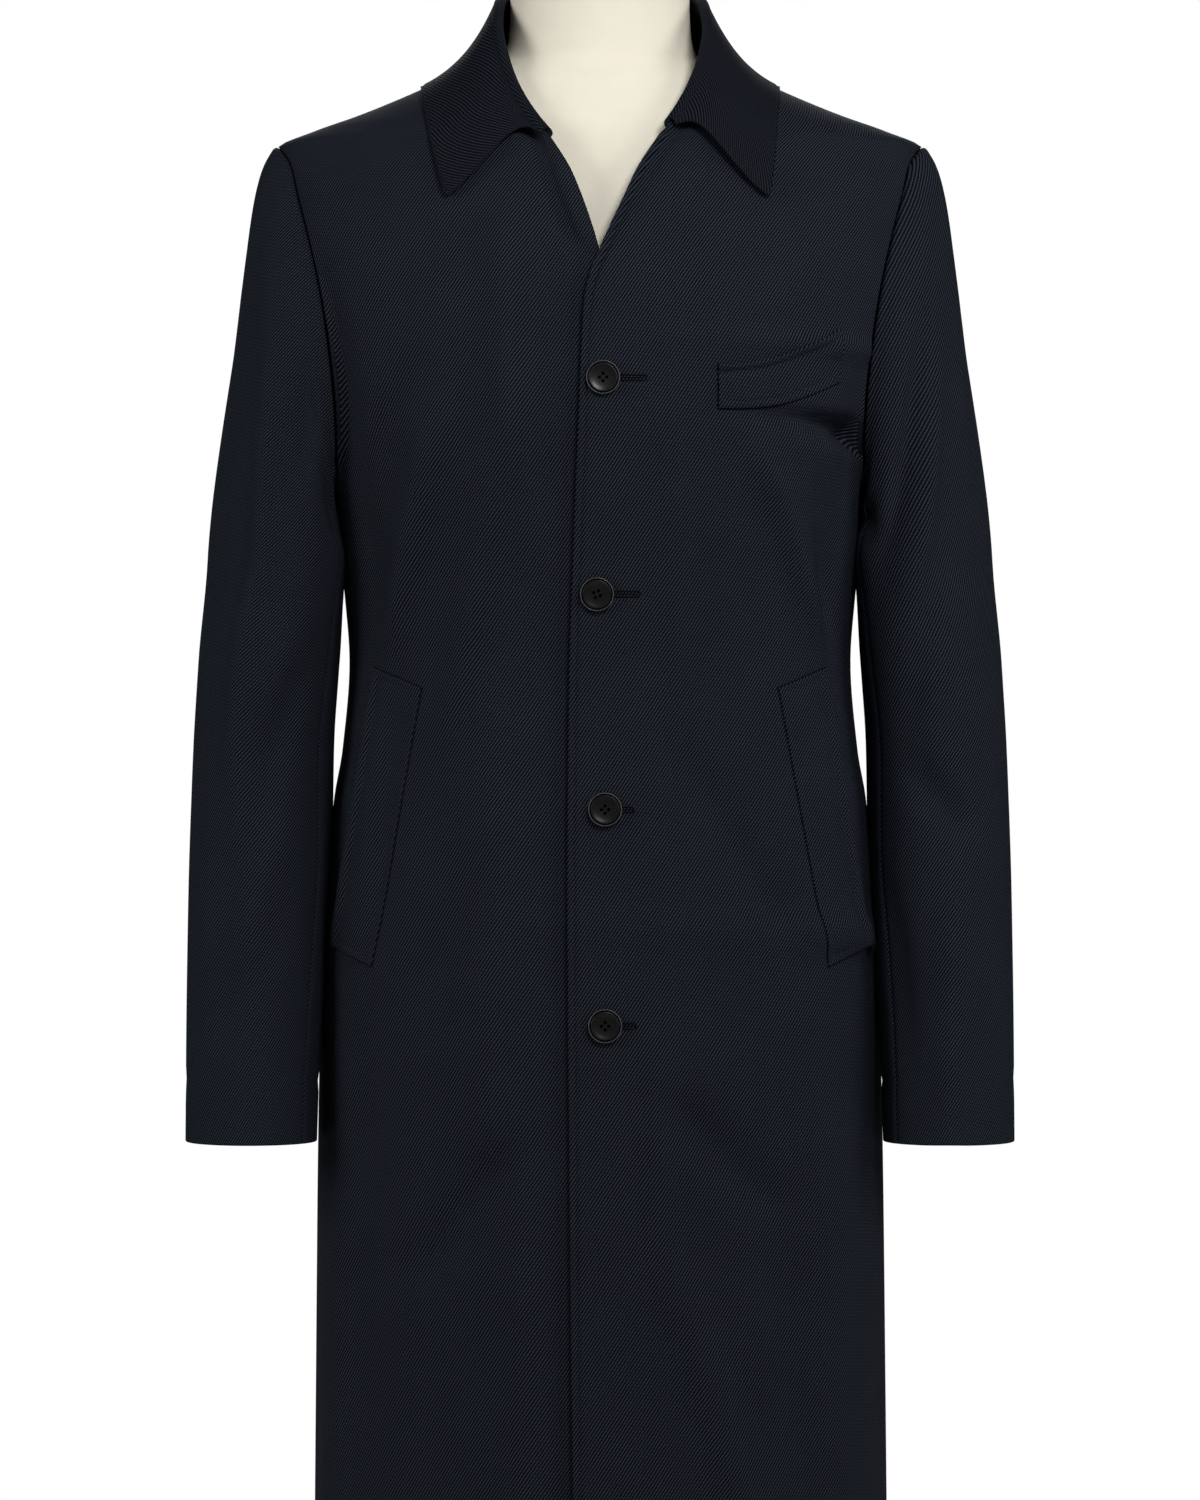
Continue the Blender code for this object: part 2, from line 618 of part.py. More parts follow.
def make_collar(collection):
    shares = np.linspace(0, 1, COLLAR_STEPS + 1)
    left, right = (np.array([collar_section(s, side) for s in shares]) for side in (1, -1))
    mirrored = right[::-1] * np.array([-1, 1, 1])
    face = np.concatenate([left, mirrored[1:]])
    along = np.gradient(face, axis=0)
    across = np.gradient(face, axis=1)
    normal = unit(np.cross(across, along))
    return wall_object("collar", face, face - normal * CLOTH, NAVY_WOOL, collection)


# Pockets

def welt(name, corners, sag, side, columns, rows, collection):
    """A strip on a front, between four corners seen from in front, made from the front's points moved out."""
    u, v = np.meshgrid(np.linspace(0, 1, columns), np.linspace(0, 1, rows))

    def blend(axis):
        low = getattr(corners["low_in"], axis) * (1 - u) + getattr(corners["low_out"], axis) * u
        high = getattr(corners["high_in"], axis) * (1 - u) + getattr(corners["high_out"], axis) * u
        return low * (1 - v) + high * v

    x, z = blend("x"), blend("z") - sag * np.sin(pi * u)
    angle = coat.angle_at(x, z) * side
    face = coat.off(angle, z, np.full(u.shape, WELT_GAP + WELT_THICKNESS))
    under = coat.off(angle, z, np.full(u.shape, WELT_GAP))
    return wall_object(name, face, under, NAVY_WOOL, collection)


# Buttons

def turned(name, profile, steps, finish, collection):
    """A solid of revolution about Z: a profile that runs down its outer side from the axis to the axis."""
    data = bpy.data.meshes.new(name)
    data.from_pydata([(r, 0, z) for r, z in profile], [(i, i + 1) for i in range(len(profile) - 1)], [])
    obj = bpy.data.objects.new(name, data)
    collection.objects.link(obj)
    screw = obj.modifiers.new("turn", "SCREW")
    screw.steps = screw.render_steps = steps
    screw.use_merge_vertices = True
    screw.merge_threshold = 0.00001
    screw.use_smooth_shade = True
    data.materials.append(material(finish))
    return obj


def hole_cutter(collection):
    """Four slim pins, joined in one mesh, that pierce a button for its thread."""
    mesh = bmesh.new()
    for i in range(4):
        turn = pi / 4 + i * pi / 2
        place = Vector((cos(turn), sin(turn), 0)) * BUTTON_HOLE_SPACING / 2 ** 0.5
        bmesh.ops.create_cone(
            mesh, cap_ends=True, segments=6, radius1=BUTTON_HOLE / 2, radius2=BUTTON_HOLE / 2,
            depth=BUTTON_THICKNESS * 4, matrix=Matrix.Translation(place),
        )
    cutter = finished("button_hole_cutter", mesh, HORN, collection)
    cutter.hide_render = True
    cutter.display_type = "WIRE"
    return cutter


def make_buttons(collection, cutters):
    """Four-hole buttons with a raised rim, each lying square to the front at its own height."""
    radius, thick = BUTTON_DIAMETER / 2, BUTTON_THICKNESS
    profile = (
        (0.0, thick * 0.62),
        (radius * 0.62, thick * 0.70),
        (radius * 0.80, thick * 0.62),
        (radius * 0.86, thick),
        (radius * 0.96, thick * 0.92),
        (radius, thick * 0.55),
        (radius * 0.72, 0.0),
        (0.0, 0.0),
    )
    cutter = hole_cutter(cutters)
    for i, x in enumerate(BUTTON_X):
        z = BUTTON_TOP_Z - i * BUTTON_PITCH
        angle = coat.angle_at(x, z)
        button = turned(f"button_{i + 1}", profile, 18, HORN, collection)
        holes = button.modifiers.new("thread_holes", "BOOLEAN")
        out = Vector(coat.normal(angle, z))
        button.location = Vector(coat.off(angle, z, SEAM))
        button.rotation_mode = "QUATERNION"
        button.rotation_quaternion = out.to_track_quat("Z", "Y")
        own_cutter = cutter.copy()
        cutters.objects.link(own_cutter)
        own_cutter.parent = button
        holes.object = own_cutter
    bpy.data.objects.remove(cutter)


# Dress form and stand

def make_form(collection):
    """The linen-covered torso and neck, one closed loft of ovals."""
    heights = [row.z for row in form_rows]
    extra = np.linspace(FORM[1].z, FORM[8].z, 11)[1:-1]
    heights = sorted({*heights, *(float(z) for z in extra if min(abs(z - h) for h in heights) > 0.012)})
    angles = np.linspace(0, 2 * pi, FORM_SIDES, endpoint=False)
    mesh = bmesh.new()
    rings = [[mesh.verts.new(p) for p in form.point(angles, np.full(FORM_SIDES, z))] for z in heights]
    for low, high in zip(rings, rings[1:]):
        for i in range(FORM_SIDES):
            j = (i + 1) % FORM_SIDES
            mesh.faces.new((low[i], low[j], high[j], high[i]))
    mesh.faces.new(rings[0][::-1])
    mesh.faces.new(rings[-1])
    return finished("form_torso", mesh, LINEN, collection)


def make_stand(collection):
    """A round floor plate and the pole that carries the form."""
    turned("stand_base", (
        (0.0, BASE_THICKNESS),
        (BASE_RADIUS - BASE_CHAMFER, BASE_THICKNESS),
        (BASE_RADIUS, BASE_THICKNESS - BASE_CHAMFER),
        (BASE_RADIUS, 0.0),
        (0.0, 0.0),
    ), ROUND_STEPS, STEEL, collection)
    low, high = BASE_THICKNESS + SEAM, FORM[0].z - SEAM
    turned("stand_pole", (
        (0.0, high), (POLE_RADIUS, high), (POLE_RADIUS, low), (0.0, low),
    ), 20, STEEL, collection)


def main():
    clear_scene()
    parts = new_collection("overcoat_on_dress_form")
    cutters = new_collection("cutters")
    root = bpy.data.objects.new("overcoat_root", None)
    parts.objects.link(root)
    for side in (1, -1):
        make_front(side, parts)
        make_back(side, parts)
        make_sleeve(side, parts)
        label = "left" if side > 0 else "right"
        welt(f"pocket_welt_{label}", SIDE_WELT, 0.0, side, 7, 11, parts)
    make_collar(parts)
    welt("chest_welt", CHEST_WELT, CHEST_WELT_SAG, 1, 9, 3, parts)
    make_buttons(parts, cutters)
    make_form(parts)
    make_stand(parts)
    for obj in list(parts.objects):
        if obj is not root and obj.parent is None:
            obj.parent = root


main()
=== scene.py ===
# %% [markdown]
# # A wool overcoat on a dress form
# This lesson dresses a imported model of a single-breasted overcoat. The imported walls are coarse, because
# they carry the collision. Here each cut piece is made again on nearly the same surfaces, finely, with
# rounded edges, soft creases and a woven finish. Lengths are in metres, +Z is up, the coat faces -Y, and
# the wearer's left is +X.

# %% Load the frame
import json
from collections import namedtuple
from math import atan, cos, pi, radians, sin

import bmesh
import bpy
import numpy as np
from mathutils import Matrix, Vector

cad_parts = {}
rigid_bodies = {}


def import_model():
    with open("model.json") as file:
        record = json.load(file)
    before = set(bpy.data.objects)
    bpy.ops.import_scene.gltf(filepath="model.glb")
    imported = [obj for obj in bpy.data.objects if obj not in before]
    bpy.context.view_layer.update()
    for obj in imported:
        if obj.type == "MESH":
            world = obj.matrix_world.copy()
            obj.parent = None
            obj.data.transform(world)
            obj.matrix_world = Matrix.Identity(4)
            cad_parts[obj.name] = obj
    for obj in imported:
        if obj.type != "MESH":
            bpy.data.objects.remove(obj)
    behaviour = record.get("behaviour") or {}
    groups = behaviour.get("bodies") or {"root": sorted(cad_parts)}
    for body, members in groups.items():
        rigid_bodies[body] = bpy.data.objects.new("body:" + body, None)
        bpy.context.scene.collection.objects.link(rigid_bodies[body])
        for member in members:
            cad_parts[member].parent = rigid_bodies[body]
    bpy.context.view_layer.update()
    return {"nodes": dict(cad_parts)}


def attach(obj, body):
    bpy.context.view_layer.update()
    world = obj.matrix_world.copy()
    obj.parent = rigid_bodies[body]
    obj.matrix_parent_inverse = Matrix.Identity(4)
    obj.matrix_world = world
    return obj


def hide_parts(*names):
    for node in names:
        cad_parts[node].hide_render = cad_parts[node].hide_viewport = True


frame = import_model()
BODY_NAME = "root"
print("packed nodes:", len(frame["nodes"]))

# %% [markdown]
# ## Curves through tables
# A tailor's pattern is a few measured heights with smooth lines between them. Blender's curve objects
# could hold such lines, but a small numpy function that never overshoots its rows is easier to reuse for
# every column.

# %% Smooth columns
def smooth_column(rows, key, name):
    """A function through one column of a table, smooth and with no overshoot between its rows."""
    order = sorted(rows, key=lambda row: getattr(row, key))
    at = np.array([getattr(row, key) for row in order])
    value = np.array([getattr(row, name) for row in order])
    step = np.diff(at)
    rise = np.diff(value) / step
    slope = np.empty_like(value)
    slope[0], slope[-1] = rise[0], rise[-1]
    before, after = rise[:-1], rise[1:]
    same_way = before * after > 0
    total = np.where(same_way, before + after, 1.0)
    slope[1:-1] = np.where(same_way, 2 * before * after / total, 0.0)

    def column(x):
        x = np.clip(np.asarray(x, float), at[0], at[-1])
        i = np.clip(np.searchsorted(at, x, side="right") - 1, 0, len(step) - 1)
        h, u = step[i], (x - at[i]) / step[i]
        return (
            value[i] * (1 + 2 * u) * (1 - u) ** 2
            + slope[i] * h * u * (1 - u) ** 2
            + value[i + 1] * u * u * (3 - 2 * u)
            + slope[i + 1] * h * u * u * (u - 1)
        )

    return column


def ease(x, low, high):
    """0 below low and 1 above high, rising smoothly between them."""
    u = np.clip((x - low) / (high - low), 0.0, 1.0)
    return u * u * (3 - 2 * u)


def unit(v):
    """Vectors of length 1 that point the same way."""
    return v / np.linalg.norm(v, axis=-1, keepdims=True)


def bump(distance, width):
    """A soft ridge, 1 in its middle."""
    return np.exp(-((distance / width) ** 2))


print("a smooth rise, half way up:", float(ease(0.5, 0.0, 1.0)))

# %% [markdown]
# ## The body of the coat
# The cloth of the fronts and the back lies on one surface: a stack of ovals, narrow at the waist and wide
# at the shoulders, with the skirt's folds growing towards the hem. It could be sculpted, but with a
# formula every pocket, button and stitch can be placed on it exactly. The tables follow the packed
# model's. At the waist and under the arms they differ by a few millimetres, so that the sleeves hang
# clear.

# %% Body sections
HEM_Z = 0.450
UNDERARM_Z = 1.207
SHOULDER_TIP_Z = 1.449
NECK_FRONT_Z, NECK_SIDE_Z, NECK_BACK_Z = 1.4465, 1.509, 1.525
V_CROSS_Z = 1.368
Section = namedtuple("Section", "z half_width front back square")
BODY = (
    Section(0.450, 0.1960, 0.1520, 0.1520, 0.040),
    Section(0.600, 0.1945, 0.1470, 0.1515, 0.040),
    Section(0.760, 0.1925, 0.1410, 0.1505, 0.050),
    Section(0.900, 0.1888, 0.1340, 0.1460, 0.050),
    Section(1.006, 0.1808, 0.1275, 0.1330, 0.050),
    Section(1.040, 0.1750, 0.1255, 0.1275, 0.050),
    Section(1.100, 0.1702, 0.1240, 0.1205, 0.055),
    Section(1.142, 0.1732, 0.1260, 0.1195, 0.060),
    Section(1.207, 0.1812, 0.1315, 0.1225, 0.075),
    Section(1.260, 0.1905, 0.1340, 0.1265, 0.085),
    Section(1.328, 0.2025, 0.1300, 0.1295, 0.090),
    Section(1.386, 0.2105, 0.1185, 0.1260, 0.098),
    Section(1.420, 0.2150, 0.1095, 0.1190, 0.095),
    Section(1.440, 0.2186, 0.1030, 0.1130, 0.085),
    Section(1.4475, 0.2192, 0.1000, 0.1105, 0.080),
    Section(1.4586, 0.1960, 0.0955, 0.1060, 0.060),
    Section(1.469, 0.1672, 0.0905, 0.1025, 0.035),
    Section(1.479, 0.1425, 0.0855, 0.0990, 0.015),
    Section(1.489, 0.1198, 0.0805, 0.0950, 0.000),
    Section(1.500, 0.0960, 0.0755, 0.0905, 0.000),
    Section(1.509, 0.0780, 0.0715, 0.0865, 0.000),
    Section(1.525, 0.0700, 0.0660, 0.0790, 0.000),
)
SHOULDER_ROUND = 0.0150
SHOULDER_ROUND_Z = 1.445
SHOULDER_ROUND_SPREAD = 0.018
Fold = namedtuple("Fold", "angle_deg spread_deg depth top_z")
FOLDS = (
    Fold(-58, 9, 0.0050, 0.98),
    Fold(-34, 11, -0.0040, 0.92),
    Fold(24, 10, -0.0035, 0.90),
    Fold(48, 10, 0.0045, 0.96),
    Fold(76, 9, -0.0040, 0.94),
    Fold(-82, 9, -0.0040, 0.96),
    Fold(112, 10, 0.0050, 1.00),
    Fold(-114, 10, 0.0055, 0.98),
    Fold(138, 10, -0.0050, 0.98),
    Fold(-140, 10, -0.0045, 1.00),
    Fold(160, 8, 0.0040, 0.94),
    Fold(-162, 8, 0.0040, 0.92),
)
print("body sections:", len(BODY), "folds:", len(FOLDS))


# %% Body surface
class Sections:
    """A stack of level ovals: an angle from centre front, positive to the wearer's left, and a height."""

    def __init__(self, rows, folds=()):
        self.half_width = smooth_column(rows, "z", "half_width")
        self.front = smooth_column(rows, "z", "front")
        self.back = smooth_column(rows, "z", "back")
        self.square = smooth_column(rows, "z", "square")
        self.folds = folds

    def fold_depth(self, angle, z):
        depth = np.zeros(np.broadcast(angle, z).shape)
        for fold in self.folds:
            away = (angle - radians(fold.angle_deg) + pi) % (2 * pi) - pi
            depth = depth + fold.depth * bump(away, radians(fold.spread_deg)) * ease(-z, -fold.top_z, -HEM_Z)
        return depth

    def point(self, angle, z):
        angle, z = np.broadcast_arrays(np.asarray(angle, float), np.asarray(z, float))
        depth = np.where(np.cos(angle) > 0, self.front(z), self.back(z))
        corner = 1 + self.square(z) * np.sin(2 * angle) ** 2
        lift = self.fold_depth(angle, z)
        away = ease(np.cos(angle) ** 2, 0.0, 0.35)
        rounding = SHOULDER_ROUND * away * bump(z - SHOULDER_ROUND_Z, SHOULDER_ROUND_SPREAD)
        x = np.sin(angle) * ((self.half_width(z) - rounding) * corner + lift)
        y = -np.cos(angle) * (depth * corner + lift)
        return np.stack([x, y, z], axis=-1)

    def normal(self, angle, z, step=1e-4):
        round_body = self.point(angle + step, z) - self.point(angle - step, z)
        upwards = self.point(angle, z + step) - self.point(angle, z - step)
        return unit(np.cross(round_body, upwards))

    def off(self, angle, z, distance):
        """The point at a distance outside the surface."""
        return self.point(angle, z) + self.normal(angle, z) * np.asarray(distance)[..., None]

    def angle_at(self, x, z):
        """The angle on the front half where the surface is x to the side at height z."""
        x, z = np.broadcast_arrays(np.asarray(x, float), np.asarray(z, float))
        low, high = np.full(x.shape, -pi / 2), np.full(x.shape, pi / 2)
        for _ in range(45):
            middle = (low + high) / 2
            short = self.point(middle, z)[..., 0] < x
            low, high = np.where(short, middle, low), np.where(short, high, middle)
        return (low + high) / 2


coat = Sections(BODY, FOLDS)
chest = coat.point(np.linspace(-pi, pi, 400), UNDERARM_Z)
print("chest round, m:", round(float(np.linalg.norm(np.diff(chest, axis=0), axis=-1).sum()), 3))

# %% [markdown]
# ## Creases
# Heavy twill hangs in long, shallow waves: drags from the armholes to the waist, a dent beside the chest
# pocket and slow ridges down the skirt. A cloth simulation would give some creases, but not these. So
# each one is a row of a table: a line on the body from a top to a foot, a width and a depth, below zero
# for a trough.

# %% Body creases
Crease = namedtuple("Crease", "top_deg top_z foot_deg foot_z width depth")
CREASES = (
    Crease(-55, 1.390, -63, 1.060, 0.022, -0.0090),
    Crease(57, 1.320, 63, 1.060, 0.022, -0.0060),
    Crease(-17, 1.440, -18, 1.190, 0.012, 0.0070),
    Crease(-16, 1.310, -37, 1.010, 0.012, 0.0080),
    Crease(-27, 1.300, -55, 1.070, 0.012, 0.0070),
    Crease(-37, 1.290, -64, 1.090, 0.014, -0.0060),
    Crease(-30, 1.320, -58, 1.200, 0.009, -0.0020),
    Crease(-23, 1.130, -22, 0.700, 0.022, 0.0075),
    Crease(-49, 1.110, -49, 0.890, 0.010, -0.0036),
    Crease(-22, 0.990, -38, 0.860, 0.014, -0.0034),
    Crease(-16, 0.830, -13, 0.380, 0.011, 0.0070),
    Crease(-13, 0.800, -40, 0.670, 0.015, -0.0060),
    Crease(-51, 0.880, -54, 0.480, 0.022, -0.0060),
    Crease(15, 1.270, 18, 1.040, 0.010, 0.0034),
    Crease(22, 1.400, 22, 1.250, 0.010, 0.0030),
    Crease(30, 1.318, 72, 1.296, 0.011, 0.0040),
    Crease(36, 1.268, 82, 1.232, 0.0095, -0.0155),
    Crease(67, 1.276, 80, 1.170, 0.0100, -0.0080),
    Crease(26, 1.270, 60, 1.085, 0.010, 0.0070),
    Crease(45, 1.250, 63, 1.110, 0.014, -0.0068),
    Crease(13, 1.070, 45, 0.880, 0.014, -0.0058),
    Crease(20, 0.935, 80, 0.900, 0.022, 0.0040),
    Crease(11, 0.890, 13, 0.640, 0.010, 0.0064),
    Crease(12, 0.740, 40, 0.400, 0.013, 0.0080),
    Crease(8, 0.830, 40, 0.720, 0.014, -0.0062),
    Crease(33, 0.840, 48, 0.380, 0.026, -0.0085),
    Crease(150, 1.300, 165, 1.060, 0.018, -0.0054),
    Crease(-152, 1.290, -167, 1.080, 0.016, -0.0051),
    Crease(128, 1.200, 141, 1.010, 0.014, -0.0048),
    Crease(-126, 1.220, -143, 0.990, 0.015, -0.0054),
    Crease(121, 1.340, 129, 1.160, 0.014, 0.0051),
    Crease(-119, 1.330, -128, 1.170, 0.014, 0.0054),
    Crease(171, 0.860, 167, 0.540, 0.015, 0.0037),
    Crease(-150, 0.840, -146, 0.500, 0.020, -0.0051),
    Crease(149, 0.810, 145, 0.490, 0.020, -0.0054),
)
BODY_RADIUS = 0.180     # turns an angle into a distance across a crease


def crease_depth(angle, z):
    """How far the cloth stands out of the body surface because of its creases."""
    depth = np.zeros(np.broadcast(angle, z).shape)
    for crease in CREASES:
        t = (z - crease.foot_z) / (crease.top_z - crease.foot_z)
        middle = np.radians(crease.foot_deg + (crease.top_deg - crease.foot_deg) * t)
        lean = radians(crease.top_deg - crease.foot_deg) * BODY_RADIUS / (crease.top_z - crease.foot_z)
        away = (angle - middle) * BODY_RADIUS / (1 + lean * lean) ** 0.5
        depth = depth + crease.depth * bump(away, crease.width) * ease(t, 0.0, 0.35) * ease(1 - t, 0.0, 0.35)
    return depth


print("creases on the body:", len(CREASES))

# %% [markdown]
# ## Wool twill
# The cloth is a steep twill: rounded ribs about two millimetres apart that climb to the right, each
# broken into short floats of yarn. An image could show this, but a formula stays sharp at any size. The
# ribs are cosine waves across a map of flat cloth, in metres, that every piece carries as its UV map, so
# they follow the cut as real ones do. Their colour runs from dark in the hollows to light on the crests.
# This is partly the twill's own tone, and partly painted shade and painted highlight on the ribs.

# %% Node helpers
def new_material(name):
    made = bpy.data.materials.new(name)
    made.use_nodes = True
    tree = made.node_tree
    return made, tree, tree.nodes["Principled BSDF"]


def node(tree, kind, **settings):
    made = tree.nodes.new(kind)
    for key, value in settings.items():
        setattr(made, key, value)
    return made


def math(tree, operation, first, second=None, third=None):
    """A Math node; its inputs are numbers or sockets."""
    made = node(tree, "ShaderNodeMath", operation=operation)
    for socket, value in zip(made.inputs, (first, second, third)):
        if value is None:
            continue
        if isinstance(value, (int, float)):
            socket.default_value = value
        else:
            tree.links.new(value, socket)
    return made.outputs[0]


print("node helpers:", new_material.__name__, node.__name__, math.__name__)


# %% Texture helpers
def noise(tree, vector, scale, detail=3.0):
    made = node(tree, "ShaderNodeTexNoise")
    made.inputs["Scale"].default_value = scale
    made.inputs["Detail"].default_value = detail
    tree.links.new(vector, made.inputs["Vector"])
    return made.outputs["Fac"]


def mix_colour(tree, share, low, high):
    made = node(tree, "ShaderNodeMix", data_type="RGBA")
    tree.links.new(share, made.inputs["Factor"])
    for socket, value in ((made.inputs[6], low), (made.inputs[7], high)):
        if isinstance(value, tuple):
            socket.default_value = value
        else:
            tree.links.new(value, socket)
    return made.outputs[2]


def raise_surface(tree, shader, height, distance, strength):
    made = node(tree, "ShaderNodeBump")
    made.inputs["Distance"].default_value = distance
    made.inputs["Strength"].default_value = strength
    tree.links.new(height, made.inputs["Height"])
    tree.links.new(made.outputs["Normal"], shader.inputs["Normal"])


def wave(tree, count):
    """A cosine wave from 0 to 1 that peaks at each whole count."""
    return math(tree, "MULTIPLY_ADD", math(tree, "COSINE", math(tree, "MULTIPLY", count, 2 * pi)), 0.5, 0.5)


print("texture helpers:", noise.__name__, mix_colour.__name__, raise_surface.__name__, wave.__name__)

# %% The twill
# Colours of the ribs' hollows and crests: partly the twill's own tone, partly painted shade and painted
# highlight.
CLOTH_CREST_TONE_AND_HIGHLIGHT = (0.0345, 0.0425, 0.0590, 1.0)
CLOTH_HOLLOW_TONE_AND_SHADE = (0.0018, 0.0022, 0.0034, 1.0)
RIB_PITCH = 0.00188         # from rib to rib, square to the ribs
FLOAT_LENGTH = 0.0026       # length of one float of yarn


def wool_twill(name, rib_deg, shade=1.0):
    """Twill whose ribs climb at rib_deg on the piece's flat map, light on their crests and dark in their
    hollows partly as painted highlight and shade; shade dims its light floats as painted shade.
    """
    made, tree, shader = new_material(name)
    flat = node(tree, "ShaderNodeTexCoord").outputs["UV"]
    turn = node(tree, "ShaderNodeMapping")
    turn.inputs["Rotation"].default_value[2] = radians(-rib_deg)
    tree.links.new(flat, turn.inputs["Vector"])
    split = node(tree, "ShaderNodeSeparateXYZ")
    tree.links.new(turn.outputs["Vector"], split.inputs[0])
    along, across = split.outputs["X"], split.outputs["Y"]
    waver = math(tree, "MULTIPLY_ADD", noise(tree, flat, 260.0), 0.30, -0.15)
    rib_count = math(tree, "MULTIPLY_ADD", across, 1 / RIB_PITCH, waver)
    rib = wave(tree, rib_count)
    stagger = math(tree, "MULTIPLY", math(tree, "ROUND", rib_count), 0.38)
    float_count = math(tree, "MULTIPLY_ADD", along, 1 / FLOAT_LENGTH, stagger)
    yarn = wave(tree, float_count)
    height = math(tree, "MULTIPLY", rib, math(tree, "MULTIPLY_ADD", yarn, 0.22, 0.78))
    fibre = noise(tree, flat, 1900.0, 2.0)
    patch = noise(tree, flat, 22.0, 4.0)
    hairy = math(tree, "MULTIPLY_ADD", fibre, 0.7, 0.60)
    # Crests light, hollows dark: partly the twill's own tone, partly painted highlight and painted shade on
    # the ribs.
    tone = math(tree, "MULTIPLY", math(tree, "POWER", height, 1.7), hairy)
    tone = math(tree, "MULTIPLY", tone, math(tree, "MULTIPLY_ADD", patch, 0.30, 0.85))
    colour = mix_colour(tree, tone, CLOTH_HOLLOW_TONE_AND_SHADE, tuple(value * shade for value in CLOTH_CREST_TONE_AND_HIGHLIGHT[:3]) + (1.0,))
    tree.links.new(colour, shader.inputs["Base Color"])
    rough = math(tree, "MULTIPLY_ADD", fibre, 0.16, 0.70)
    tree.links.new(rough, shader.inputs["Roughness"])
    shader.inputs["Specular IOR Level"].default_value = 0.03
    raise_surface(tree, shader, height, 0.00020, 1.0)
    return made


BODY_TWILL = wool_twill("wool_twill_body", 57)
SLEEVE_TWILL = wool_twill("wool_twill_sleeve", 52)
# The collar is the same cloth; its light floats are dimmed to 0.57 as painted shade.
COLLAR_TWILL = wool_twill("wool_twill_collar_painted_shade", 35, 0.57)
print("twill finishes:", BODY_TWILL.name, SLEEVE_TWILL.name, COLLAR_TWILL.name)

# %% [markdown]
# ## Shells of cloth
# A cut piece is a thin sheet whose edges are turned or sewn in, so they are round and never knife-sharp.
# Solidify and Bevel would come close, but here the thickness itself runs out in a quarter circle at every
# edge, which closes the shell with no rim. The rows and columns crowd near the edges, where the seam dips
# and stitches pull.

# %% Edges of a shell
CLOTH = 0.0020
SEAM = 0.0004
SEAM_MEET = 0.0005      # how far the rounded edges of two sewn pieces run into each other
LAP_GAP = 0.0008
# Distances of the rows and columns from a free edge and from a sewn one
EDGE_STEPS = (
    0.0, 0.00012, 0.0004, 0.0010, 0.0020, 0.0034, 0.0044, 0.0050, 0.0056, 0.0068, 0.0095, 0.0115, 0.0128,
    0.0142, 0.0175,
)
SEAM_STEPS = (0.0, 0.00012, 0.0004, 0.0010, 0.0020, 0.0036, 0.0060, 0.0100)


def round_over(distance, half):
    """The half thickness at a distance from an edge, which runs out in a quarter circle."""
    return half * np.sqrt(np.clip(1 - (1 - np.clip(distance / half, 0, 1)) ** 2, 0, 1))


def lengths(points, axis):
    """Distances along the rows or columns of a grid of points, from their first."""
    step = np.linalg.norm(np.diff(points, axis=axis), axis=-1)
    start = np.zeros_like(np.take(step, [0], axis=axis))
    return np.concatenate([start, np.cumsum(step, axis=axis)], axis=axis)


print("rows along a free edge:", len(EDGE_STEPS), "along a seam:", len(SEAM_STEPS))


# %% Shell builder
def shell(name, middle, normal, flat, finish, outwards=True, thickness=CLOTH):
    """A closed sheet around a grid of points, round at its edges, with a map of flat cloth in metres.

    outwards is False where the grid's columns run the other way round, as on a mirrored piece.
    """
    if not outwards:
        middle, normal, flat = middle[:, ::-1], normal[:, ::-1], flat[:, ::-1]
    rows, columns = middle.shape[:2]
    along, across = lengths(middle, 1), lengths(middle, 0)
    reach = np.minimum(np.minimum(along, along[:, -1:] - along), np.minimum(across, across[-1:] - across))
    half = round_over(reach, thickness / 2)[..., None]
    top = np.arange(rows * columns).reshape(rows, columns)
    low = top.copy()
    inside = (rows - 2) * (columns - 2)
    low[1:-1, 1:-1] = rows * columns + np.arange(inside).reshape(rows - 2, columns - 2)
    points = np.concatenate([
        (middle + normal * half).reshape(-1, 3), (middle - normal * half)[1:-1, 1:-1].reshape(-1, 3)])
    flat = np.concatenate([flat.reshape(-1, 2), flat[1:-1, 1:-1].reshape(-1, 2)])

    def quads(grid):
        return np.stack([grid[:-1, :-1], grid[:-1, 1:], grid[1:, 1:], grid[1:, :-1]], axis=-1).reshape(-1, 4)

    faces = np.concatenate([quads(top), quads(low)[:, ::-1]])
    return mesh_object(name, points, faces, finish, flat)


def mesh_object(name, points, faces, finish, flat):
    """A smooth-shaded object at the origin, with its place in its mesh."""
    data = bpy.data.meshes.new(name)
    data.from_pydata(points.tolist(), [], faces.tolist())
    corner = np.empty(len(data.loops), np.int32)
    data.loops.foreach_get("vertex_index", corner)
    data.uv_layers.new(name="flat_cloth").data.foreach_set("uv", flat[corner].astype(np.float32).ravel())
    data.materials.append(finish)
    data.shade_smooth()
    data.update()
    obj = bpy.data.objects.new(name, data)
    bpy.context.scene.collection.objects.link(obj)
    return obj


print("cloth, m thick:", CLOTH)

# %% Pieces on the body
grids = {}      # the middle surface and normals of each piece, where stitches are placed later


def keep(obj, node_name):
    """Rides a piece on the body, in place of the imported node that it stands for."""
    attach(obj, BODY_NAME)
    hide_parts(node_name)
    print(node_name, "faces:", len(obj.data.polygons))


print("body:", BODY_NAME)

# %% [markdown]
# ## Panels
# A body panel runs from an inner edge, at the centre, to an outer one: the side seam, then the armhole,
# then the shoulder. Its rows are level. If every row were divided evenly, the columns would jump sideways
# where the armhole begins, and the light would show it. So the columns follow a smooth guide and only the
# outermost ones bend to the true edge.

